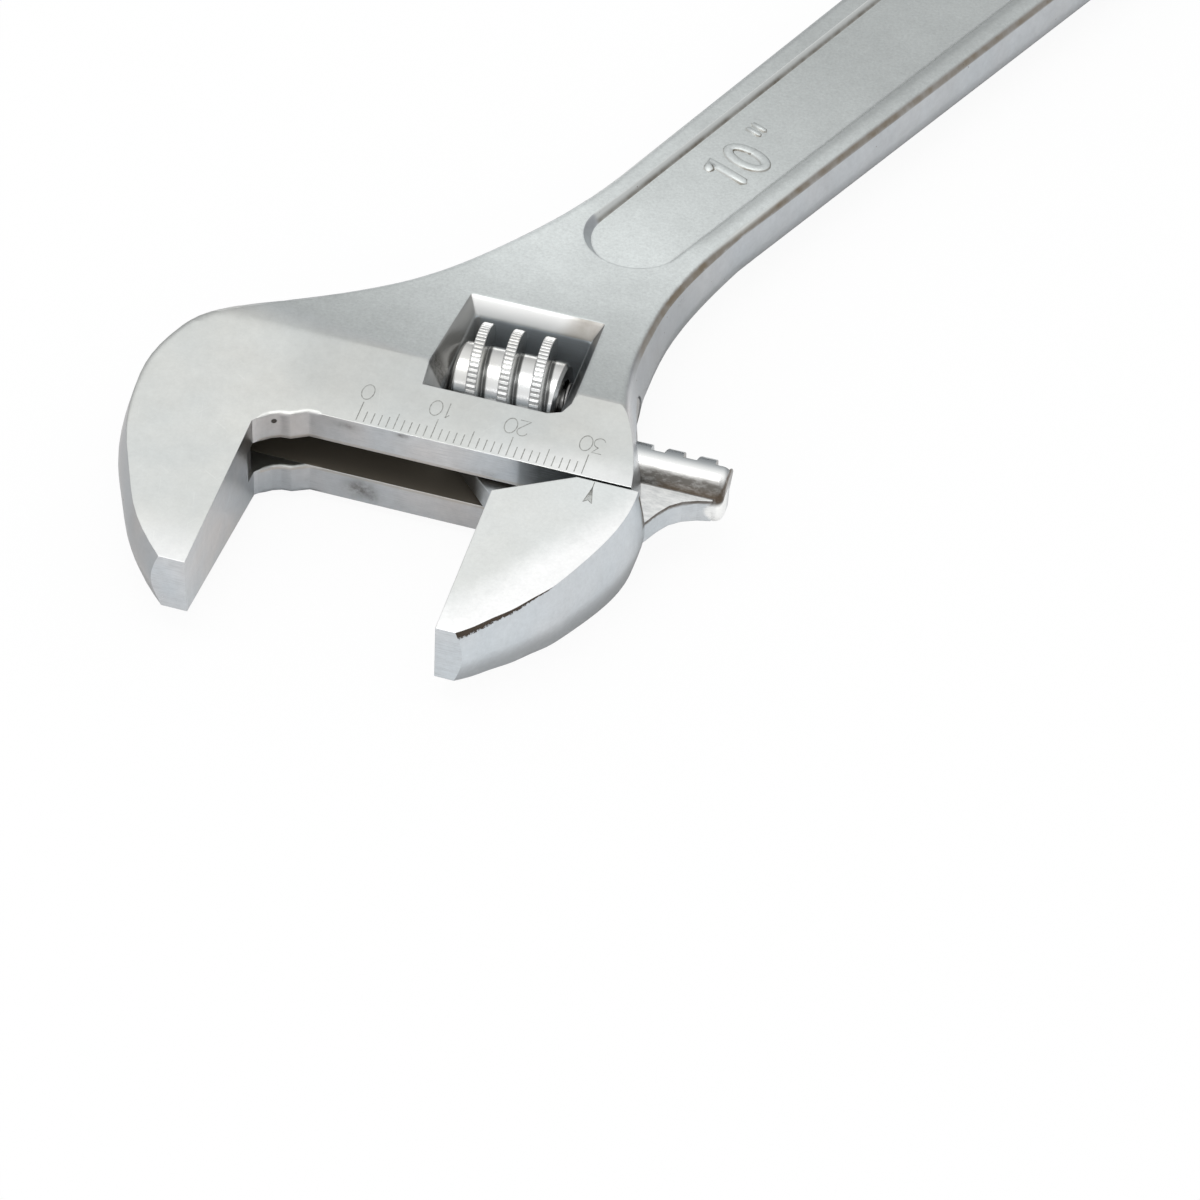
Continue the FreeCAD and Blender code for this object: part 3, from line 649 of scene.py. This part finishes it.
def chipped_strip(g, at, under):
    """1 where the plate has chipped off in a strip under the top edge, near the tip."""
    reach = g.ramp(at.y, -15.7, -4.6, 1.0, 0.10)
    ragged = g.times(g.math("SUBTRACT", g.noise(at.position, 2.6, 6.0, 0.85), 0.5), 2.4)
    uneven = g.times(ragged, g.math("ADD", g.times(reach, 0.8), 0.2))
    depth = g.math("ADD", g.times(reach, 1.05), uneven)
    side = opposite(g, g.step(at.flat, 0.6, 0.8))
    outer = g.times(side, g.step(at.nx, 0.15, 0.3), g.step(at.y, -4.0, -4.7))
    strip = g.step(g.math("SUBTRACT", under, depth), 0.06, 0.0)
    return g.times(outer, strip, g.step(at.y, -15.7, -15.5))


def bar_tones(g, at, bar, patchy, color):
    """The polished bar, painted bright with painted shade towards the rack, brown and pitted along
    its lower third; also gives where it is brown.
    """
    lean = g.math("ADD", at.y, g.times(at.z, -0.25))
    brown = g.times(bar, g.step(lean, BAR_Y - 1.9, BAR_Y - 3.3))
    brown = g.times(brown, g.ramp(patchy, 0.30, 0.60, 0.7, 1.0))
    brown = g.times(brown, g.step(at.x, 46.0, 49.0), g.step(at.z, 0.6, 1.4))
    # Painted shade on the bar's side towards the rack, painted highlight elsewhere.
    toward_rack = g.step(at.y, BAR_Y - 1.2, BAR_Y + 0.8)
    color = g.blend(bar, color, g.blend(toward_rack, BAR_PAINTED_HIGHLIGHT, BAR_PAINTED_SHADE))
    return g.blend(g.math("MINIMUM", brown, 0.93), color, BAR_BROWN), brown


def web_tones(g, at, bar, under, patchy, color):
    """The web's bright top, and the dirt on its flared tail, at its corner and on the bar's end."""
    web = g.times(opposite(g, bar), g.step(at.y, THROAT_Y - 0.6, THROAT_Y + 0.4))
    web_top = g.times(web, g.step(at.nz, 0.5, 0.8))
    web_tone = g.blend(g.ramp(patchy, 0.35, 0.62, 0.0, 1.0), WEB_BRIGHT, WEB_DULL)
    color = g.blend(g.times(web_top, 0.9), color, web_tone)
    upright = g.step(at.flat, 0.75, 0.45)
    low_edge = g.math("ADD", 1.0, g.times(g.math("SUBTRACT", patchy, 0.5), 1.6))
    tail = g.times(upright, g.step(at.y, 12.2, 13.4), g.step(at.x, 50.5, 51.5))
    tail = g.times(tail, g.step(at.z, low_edge, 1.5))
    corner = g.times(g.step(at.nx, 0.2, 0.4), g.within(at.y, 13.15, 14.0, 0.12))
    corner = g.times(corner, g.step(at.z, 1.4, 2.0), g.step(under, 0.4, 0.9))
    worn = use(g, "edges", Radius=0.6 * MM)["Edge"]
    bar_end = g.times(worn, bar, g.step(at.x, 58.4, 59.2), g.step(at.z, -0.4, 0.8), 0.9)
    dirt = g.math("MAXIMUM", g.math("MAXIMUM", tail, corner), bar_end)
    dirt = g.times(dirt, g.ramp(patchy, 0.35, 0.6, 0.65, 1.1))
    return g.blend(g.math("MINIMUM", dirt, 0.9), color, DIRT)


def jaw_steel():
    """The moving jaw: ground faces, plated walls, a polished bar and a chipped top edge."""
    material, g, shader = new_material("jaw_steel")
    at = Spot(g)
    level = g.step(at.flat, 0.90, 0.97)
    ground = g.times(level, g.step(at.high, 2.4, 2.9))
    off_bar = g.math("SUBTRACT", at.y, BAR_Y)
    from_bar = g.math("SQRT", g.math("ADD", g.times(off_bar, off_bar), g.times(at.z, at.z)))
    bar = g.step(from_bar, BAR_RADIUS + 0.3, BAR_RADIUS + 0.1)
    walls = g.times(opposite(g, level), opposite(g, bar))
    top = g.math("ADD", g.times(at.y, FACE_SLOPE), FACE_AT_THROAT - FACE_SLOPE * THROAT_Y)
    under = g.math("SUBTRACT", top, at.z)

    mottle = use(g, "mottle", Position=at.position, Patch=0.2)
    lines = g.stretch(at.position, 7.0, 0.15, 1.0)
    marks = use(g, "scratches", Position=at.position, Lines=lines)
    patchy = g.noise(g.stretch(at.position, 0.5, 1.3, 1.3), 1.2, 5.0, 0.75)
    rounded = use(g, "edges", Radius=0.16 * MM)["Normal"]

    wall = g.blend(g.times(mottle["Hue"], 0.25), JAW_WALL, WALL_WARM)
    # Painted shade underneath, on walls that face downwards.
    wall = g.blend(g.times(g.step(at.nz, -0.03, -0.24), 0.8), wall, UNDERSIDE_PAINTED_SHADE)
    color = g.blend(ground, wall, jaw_ground_tone(g, at, mottle))
    clouds = g.times(mottle["Cloud"], g.math("ADD", 0.03, g.times(walls, 0.05)))
    shade = g.math("ADD", 1.0, clouds)
    shade = g.math("ADD", shade, g.times(g.math("SUBTRACT", mottle["Grain"], 0.5), 0.22))
    color = g.vector("SCALE", color, scale=shade)
    color, brown = bar_tones(g, at, bar, patchy, color)
    color = web_tones(g, at, bar, under, patchy, color)

    rust = use(g, "rust", Position=at.position, Amount=g.times(mottle["Pits"], walls, 0.75))
    stained = g.math("MAXIMUM", g.times(rust["Mask"], 0.85), g.math("MINIMUM", brown, 1.0))
    color = g.blend(g.times(rust["Mask"], 0.85), color, rust["Tint"])
    chip = chipped_strip(g, at, under)
    color = g.blend(chip, color, g.blend(patchy, CHIP_DARK, CHIP_PALE))
    hidden = g.times(g.step(at.x, 47.0, 45.5), g.step(at.y, THROAT_Y + 0.3, THROAT_Y + 1.2))
    color = g.blend(g.times(hidden, 0.6), color, OUT_OF_LIGHT)
    color, tip_relief = turned_tip(g, at, color)
    dull = g.math("MAXIMUM", stained, chip)

    roughness = g.lerp(bar, g.lerp(ground, 0.32, 0.33), 0.20)
    roughness = g.math("ADD", roughness, g.times(mottle["Cloud"], 0.03))
    roughness = g.math("ADD", roughness, g.times(dull, 0.25), True)

    height = g.math("ADD", g.times(mottle["Grain"], 0.10), g.times(marks["Grind"], ground, 0.12))
    height = g.math("ADD", height, g.times(marks["Scuff"], ground, -0.06))
    height = g.math("ADD", height, g.times(patchy, g.math("MAXIMUM", stained, brown), 3.0))
    height = g.math("ADD", height, g.times(chip, -5.0))
    height = g.math("ADD", height, tip_relief)
    g.feed(shader.inputs["Base Color"], color)
    g.feed(shader.inputs["Roughness"], roughness)
    g.feed(shader.inputs["Metallic"], opposite(g, g.times(dull, 0.6)))
    g.feed(shader.inputs["Normal"], bumped(g, height, 0.012, rounded))
    return material


WORM_CLEAN = (0.80, 0.81, 0.81, 1)
WORM_WARM = (0.72, 0.71, 0.68, 1)
# Painted shade between the knurl ridges on the crest, and deep in the thread.
CREST_PAINTED_SHADE = (0.34, 0.345, 0.34, 1)
ROOT_PAINTED_SHADE = (0.045, 0.047, 0.045, 1)


def bright_steel():
    """The worm: polished, with painted shade on the crest between the knurls and deep in the
    thread.
    """
    material, g, shader = new_material("bright_steel")
    position = place(g)
    x, y, z = parts(g, position)
    off = g.math("SUBTRACT", y, WORM_Y)
    radius = g.math("SQRT", g.math("ADD", g.times(off, off), g.times(z, z)))
    crest = g.step(radius, WORM_RADIUS - 0.12, WORM_RADIUS - 0.04)
    crest = g.times(crest, g.step(radius, WORM_RADIUS + 0.02, WORM_RADIUS))
    mottle = use(g, "mottle", Position=position, Patch=0.35)
    edges = use(g, "edges", Radius=0.12 * MM)
    turned = g.noise(g.stretch(position, 9.0, 0.2, 0.2), 1.0, 2.0)
    clean = g.blend(mottle["Hue"], WORM_CLEAN, WORM_WARM)

    # Distance along the worm from the middle of the thread's crest, in mm.
    turn = g.math("DIVIDE", g.math("ARCTAN2", z, off), 2 * math.pi)
    past_mesh = g.math("DIVIDE", g.math("SUBTRACT", x, RACK_MESH_X), THREAD_PITCH)
    phase = g.math("FRACT", g.math("ADD", g.math("SUBTRACT", past_mesh, turn), 11.0))
    beside = g.times(g.math("SUBTRACT", phase, 0.5), THREAD_PITCH)
    in_root = g.times(
        g.step(radius, WORM_RADIUS - 0.25, WORM_RADIUS - 0.6),
        g.within(x, THREAD_START - 0.9, THREAD_START + THREAD_LENGTH + 0.9, 0.1),
    )
    near_crest = g.times(g.within(beside, -1.2, -0.9, 0.1), 0.7)
    gap = g.math("MAXIMUM", g.within(beside, 0.9, 1.42, 0.14), near_crest)

    # Painted shade on the crest between the knurl ridges and deep in the thread.
    color = g.blend(crest, clean, CREST_PAINTED_SHADE)
    color = g.blend(g.times(gap, in_root, 0.93), color, ROOT_PAINTED_SHADE)
    rust = use(g, "rust", Position=position, Amount=g.times(g.step(x, 22.5, 21.0), 0.40))
    color = g.blend(g.times(rust["Mask"], 0.6), color, rust["Tint"])
    g.feed(shader.inputs["Base Color"], color)
    g.feed(shader.inputs["Metallic"], g.lerp(crest, 1.0, 0.6))
    g.feed(shader.inputs["Roughness"], g.ramp(mottle["Cloud"], -1.0, 1.0, 0.17, 0.27))
    g.feed(shader.inputs["Normal"], bumped(g, turned, 0.01, edges["Normal"]))
    return material


def plain_steel(name, color, worn, rough):
    """Bare turned or drawn steel, a little oily."""
    material, g, shader = new_material(name)
    mottle = use(g, "mottle", Position=place(g), Patch=0.4)
    blend = g.ramp(mottle["Cloud"], -1.0, 1.0, 0.0, 1.0)
    g.feed(shader.inputs["Base Color"], g.blend(blend, color, worn))
    g.feed(shader.inputs["Roughness"], g.math("ADD", rough, g.times(mottle["Grain"], 0.12)))
    g.feed(shader.inputs["Normal"], bumped(g, mottle["Grain"], 0.01))
    shader.inputs["Metallic"].default_value = 1.0
    return material


ETCH_DARK = (0.20, 0.20, 0.185, 1)
ETCH_WORN = (0.46, 0.47, 0.45, 1)


def etched_grey():
    """Dull grey of the etched scale, thin in places."""
    material, g, shader = new_material("etched_grey")
    position = place(g)
    mottle = use(g, "mottle", Position=position, Patch=0.5)
    uneven = g.step(g.noise(position, 2.4, 3.0, 0.7), 0.3, 0.72)
    g.feed(shader.inputs["Base Color"], g.blend(uneven, ETCH_DARK, ETCH_WORN))
    g.feed(shader.inputs["Roughness"], g.ramp(mottle["Cloud"], -1.0, 1.0, 0.5, 0.65))
    shader.inputs["Metallic"].default_value = 0.35
    return material


SATIN = satin_plate()
finish_of = {
    "body": SATIN,
    "moving_jaw": jaw_steel(),
    "worm": bright_steel(),
    "worm_pin": plain_steel("pin_steel", (0.42, 0.42, 0.42, 1), (0.55, 0.54, 0.52, 1), 0.28),
    "worm_spring": plain_steel("spring_steel", (0.20, 0.20, 0.21, 1), (0.34, 0.33, 0.31, 1), 0.3),
}
for name, material in finish_of.items():
    nodes[name].data.materials.clear()
    nodes[name].data.materials.append(material)
ETCHED = etched_grey()

# ------------------------------------------------------------------ pieces


def new_piece(name, mesh, material, body):
    piece = bpy.data.objects.new(name, mesh)
    bpy.context.scene.collection.objects.link(piece)
    mesh.materials.append(material)
    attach(piece, body)
    return piece


def ribbon(bm, path, width, surface, lift):
    """A flat strip of even width along a path of (across, along) points, laid on a surface."""
    rows = []
    for i, point in enumerate(path):
        before = path[max(i - 1, 0)]
        after = path[min(i + 1, len(path) - 1)]
        along = Vector((after[0] - before[0], after[1] - before[1])).normalized()
        side = Vector((-along.y, along.x)) * width / 2
        rows.append(
            [
                bm.verts.new(surface(point[0] + side.x * way, point[1] + side.y * way, lift))
                for way in (1, -1)
            ]
        )
    for (a, b), (c, d) in zip(rows, rows[1:]):
        bm.faces.new((a, b, d, c))


def oval(cx, cy, half_wide, half_high, start=0, stop=360, steps=24):
    """Points round an ellipse from one angle to another."""
    return [
        (
            cx + half_wide * math.cos(math.radians(start + (stop - start) * i / steps)),
            cy + half_high * math.sin(math.radians(start + (stop - start) * i / steps)),
        )
        for i in range(steps + 1)
    ]


# Strokes of each figure in a box 1 wide and 1 high about its middle, upright.
FIGURES = {
    "0": [oval(0, 0, 0.5, 0.5)],
    "1": [[(-0.18, 0.28), (0.06, 0.5), (0.06, -0.5)]],
    "2": [oval(0, 0.22, 0.42, 0.28, 165, -35, 14) + [(-0.42, -0.5), (0.46, -0.5)]],
    "3": [[(-0.40, 0.5), (0.40, 0.5), (-0.02, 0.12)] + oval(0, -0.19, 0.45, 0.31, 90, -155, 16)],
}
FIGURE_WIDE = 1.62
FIGURE_HIGH = 2.55
FIGURE_STEP = 1.68
FIGURE_Y = 19.38
ETCH_WIDTH = 0.135
ETCH_LIFT = 0.012
SCALE_START = 12.6
TICK_START_Y = 14.38
TICK_AT_TEN = 3.25
TICK_AT_FIVE = 2.65
TICK_AT_ONE = 1.8


def opening_scale():
    """The scale of opening beside the throat: a line for each mm, and figures at the tens."""
    bm = bmesh.new()
    for tick in range(31):
        long = TICK_AT_TEN if tick % 10 == 0 else TICK_AT_FIVE if tick % 5 == 0 else TICK_AT_ONE
        x = SCALE_START + tick
        ribbon(bm, [(x, TICK_START_Y), (x, TICK_START_Y + long)], ETCH_WIDTH, on_face, ETCH_LIFT)
    for tens in range(4):
        text = str(tens * 10)
        for i, figure in enumerate(text):
            middle = SCALE_START + tens * 10 - (i - (len(text) - 1) / 2) * FIGURE_STEP
            for stroke in FIGURES[figure]:
                path = [(middle - FIGURE_WIDE * a, FIGURE_Y - FIGURE_HIGH * b) for a, b in stroke]
                ribbon(bm, path, ETCH_WIDTH, on_face, ETCH_LIFT)
    mesh = bpy.data.meshes.new("opening_scale")
    bm.to_mesh(mesh)
    bm.free()
    new_piece("opening_scale", mesh, ETCHED, "body")


POINTER_X = 44.6
POINTER_APEX_Y = 12.6
POINTER_FOOT_Y = 10.0


def jaw_pointer():
    """The arrow on the moving jaw that reads against the scale, filled with fine lines."""
    bm = bmesh.new()
    stem = [(POINTER_X, 13.5), (POINTER_X, POINTER_APEX_Y - 0.05)]
    ribbon(bm, stem, 0.12, on_face, ETCH_LIFT)
    apex = Vector((POINTER_X, POINTER_APEX_Y))
    left = Vector((POINTER_X - 0.55, POINTER_FOOT_Y))
    right = Vector((POINTER_X + 0.6, POINTER_FOOT_Y))
    notch = Vector((POINTER_X, POINTER_FOOT_Y + 0.45))
    for a, b in ((apex, left), (apex, right), (left, notch), (notch, right)):
        ribbon(bm, [tuple(a), tuple(b)], 0.09, on_face, ETCH_LIFT)
    for step in range(1, 8):
        foot = left.lerp(right, step / 8)
        foot.y = POINTER_FOOT_Y + 0.4 * (1 - abs(step - 4) / 4)
        ribbon(bm, [tuple(apex), tuple(foot)], 0.06, on_face, ETCH_LIFT)
    mesh = bpy.data.meshes.new("jaw_pointer")
    bm.to_mesh(mesh)
    bm.free()
    new_piece("jaw_pointer", mesh, ETCHED, "jaw")


def raised_stroke(bm, path, width, rise):
    """A soft rounded ridge along a path on the panel's floor, with rounded ends."""
    arc = [math.radians(a) for a in range(0, 181, 20)]
    closed = path[0] == path[-1]
    rows = []
    last = len(path) - 1
    for i, point in enumerate(path):
        before = path[i - 1] if i else (path[-2] if closed else path[0])
        after = path[i + 1] if i < last else (path[1] if closed else path[-1])
        along = Vector((after[0] - before[0], after[1] - before[1])).normalized()
        across = Vector((-along.y, along.x)) * width / 2
        row = []
        for a in arc:
            u, v = math.cos(a), math.sin(a)
            spot = on_panel(point[0] + across.x * u, point[1] + across.y * u, rise * v - 0.02)
            row.append(bm.verts.new(spot))
        rows.append(row)
    for a, b in zip(rows, rows[1:]):
        for k in range(len(arc) - 1):
            bm.faces.new((a[k], a[k + 1], b[k + 1], b[k]))
    if closed:
        return
    for row, point, inner in ((rows[0], path[0], path[1]), (rows[-1], path[-1], path[-2])):
        way = Vector((point[0] - inner[0], point[1] - inner[1])).normalized() * width * 0.4
        foot = bm.verts.new(on_panel(point[0] + way.x, point[1] + way.y, -0.02))
        for k in range(len(arc) - 1):
            bm.faces.new((row[k], row[k + 1], foot))


# The size mark's strokes, as points (along the handle, across it).
MARK_ONE = [(92.3, -2.0), (93.0, -2.4), (93.8, -3.1), (93.7, -1.0), (93.6, 1.0), (93.45, 3.3)]
MARK_NOUGHT = oval(98.0, 0.4, 1.6, 3.1, 0, 360, 32)
MARK_DASHES = (103.3, 104.6)


def size_mark():
    """The raised ten-inch size mark in the handle's upper panel."""
    bm = bmesh.new()
    for path in (MARK_ONE, MARK_NOUGHT):
        raised_stroke(bm, path, 1.6, 0.33)
    for along in MARK_DASHES:
        raised_stroke(bm, [(along, -3.5), (along, -2.4), (along - 0.1, -1.3)], 0.95, 0.28)
    bmesh.ops.recalc_face_normals(bm, faces=bm.faces)
    for face in bm.faces:
        face.smooth = True
    mesh = bpy.data.meshes.new("size_mark")
    bm.to_mesh(mesh)
    bm.free()
    new_piece("size_mark", mesh, SATIN, "body")


RIDGES_PER_TURN = 74


def worm_knurl():
    """The knurled ridges across the worm's crest, all along its thread."""
    half = CREST_WIDTH / 2 - 0.04
    turns = (THREAD_LENGTH - 0.5) / THREAD_PITCH
    count = int(turns * RIDGES_PER_TURN)
    bm = bmesh.new()
    low, high = WORM_RADIUS - 0.06, WORM_RADIUS + 0.13
    foot, head = 0.27, 0.17  # half widths of a ridge round the worm
    tallest = cad_high.z / MM - 0.005  # level with the head's ridge
    for k in range(count):
        x0 = THREAD_START + 0.25 + THREAD_PITCH * k / RIDGES_PER_TURN
        angle = math.pi + (x0 - RACK_MESH_X) / THREAD_PITCH * 2 * math.pi
        rows = []
        for x, drop in ((-half, 0.05), (-half + 0.14, 0.0), (half - 0.14, 0.0), (half, 0.05)):
            profile = ((-foot, low), (-head, high - drop), (head, high - drop), (foot, low))
            row = []
            for way, r in profile:
                turn = angle + way / WORM_RADIUS
                rise = max(-tallest, min(tallest, r * math.sin(turn)))
                point = (x0 + x, WORM_Y + r * math.cos(turn), rise)
                row.append(bm.verts.new(Vector(point) * MM))
            rows.append(row)
        for a, b in zip(rows, rows[1:]):
            for i in range(3):
                bm.faces.new((a[i], a[i + 1], b[i + 1], b[i]))
        bm.faces.new(rows[0][::-1])
        bm.faces.new(rows[-1])
    bmesh.ops.recalc_face_normals(bm, faces=bm.faces)
    mesh = bpy.data.meshes.new("worm_knurl")
    bm.to_mesh(mesh)
    bm.free()
    new_piece("worm_knurl", mesh, finish_of["worm"], "worm")


opening_scale()
jaw_pointer()
size_mark()
worm_knurl()

# ------------------------------------------------------------------ stage, light and camera

FLOOR_HALF = 3.0
FLOOR_Z = cad_low.z - 0.05 * MM


def pale_floor():
    """A plain white floor that shows only a faint shadow."""
    material, g, shader = new_material("pale_floor")
    shader.inputs["Base Color"].default_value = (0.9, 0.9, 0.9, 1)
    shader.inputs["Roughness"].default_value = 0.9
    path = g.add("ShaderNodeLightPath").outputs
    white = g.add("ShaderNodeEmission", {"Color": (1, 1, 1, 1), "Strength": 1.0})
    seen = g.times(path["Is Camera Ray"], 0.93)
    mix = g.add("ShaderNodeMixShader", {0: seen, 1: shader.outputs[0], 2: white.outputs[0]})
    g.feed(material.node_tree.nodes["Material Output"].inputs["Surface"], mix.outputs[0])
    return material


floor_mesh = bpy.data.meshes.new("floor")
floor_mesh.from_pydata(
    [(a * FLOOR_HALF, b * FLOOR_HALF, FLOOR_Z) for a, b in ((-1, -1), (1, -1), (1, 1), (-1, 1))],
    [],
    [(0, 1, 2, 3)],
)
floor = bpy.data.objects.new("floor", floor_mesh)
bpy.context.scene.collection.objects.link(floor)
floor_mesh.materials.append(pale_floor())


WHITE = (1.0, 1.0, 1.0, 1)
HORIZON = (0.42, 0.43, 0.45, 1)
# The room's brightness from the horizon, at 0, to overhead, at 1.
ROOM_LEVELS = ((0.30, 0.60), (0.53, 0.76), (0.70, 0.90), (0.86, 0.96))


def room_light():
    """A pale room: brightest overhead, dimmer towards the horizon, white to the camera."""
    world = bpy.data.worlds.new("room")
    bpy.context.scene.world = world
    world.use_nodes = True
    g = Graph(world.node_tree)
    way = g.add("ShaderNodeTexCoord").outputs["Generated"]
    color = g.add("ShaderNodeValToRGB", {0: parts(g, way)["Z"]})
    ramp = color.color_ramp
    ramp.elements[0].position, ramp.elements[0].color = 0.0, HORIZON
    ramp.elements[1].position, ramp.elements[1].color = 1.0, WHITE
    for at, level in ROOM_LEVELS:
        ramp.elements.new(at).color = (level, level * 1.005, level * 1.01, 1)
    path = g.add("ShaderNodeLightPath").outputs
    shown = g.blend(path["Is Camera Ray"], color.outputs[0], WHITE)
    background = world.node_tree.nodes["Background"]
    g.feed(background.inputs["Color"], shown)
    background.inputs["Strength"].default_value = 1.0


def soft_lamp(name, at, aim, width, height, power):
    """A square soft lamp that faces a point."""
    data = bpy.data.lights.new(name, "AREA")
    data.shape = "RECTANGLE"
    data.size, data.size_y, data.energy = width, height, power
    lamp = bpy.data.objects.new(name, data)
    bpy.context.scene.collection.objects.link(lamp)
    lamp.location = at
    lamp.rotation_mode = "QUATERNION"
    lamp.rotation_quaternion = (Vector(aim) - Vector(at)).to_track_quat("-Z", "Y")
    return lamp


room_light()
middle = (cad_low + cad_high) / 2
soft_lamp("front_window", (-0.35, -1.2, 0.55), middle, 1.4, 0.7, 4.5)
soft_lamp("overhead", (-0.1, -0.05, 1.3), middle, 0.8, 0.45, 3.2)

CAMERA_PLACE = (116.54, -289.41, 311.47)
CAMERA_RIGHT = (0.9600, 0.2754, 0.0494)
CAMERA_AHEAD = (-0.1559, 0.6730, -0.7231)

camera_data = bpy.data.cameras.new("camera")
camera_data.sensor_width = 36.0
camera_data.lens = 103.72
camera_data.clip_start = 0.01
camera_data.clip_end = 10.0
camera = bpy.data.objects.new("camera", camera_data)
bpy.context.scene.collection.objects.link(camera)
right = Vector(CAMERA_RIGHT).normalized()
forward = Vector(CAMERA_AHEAD).normalized()
up = right.cross(forward).normalized()
right = forward.cross(up)
turn = Matrix((right, up, -forward)).transposed()
camera.matrix_world = Matrix.Translation(Vector(CAMERA_PLACE) * MM) @ turn.to_4x4()
bpy.context.scene.camera = camera
bpy.context.scene.view_settings.view_transform = "Standard"
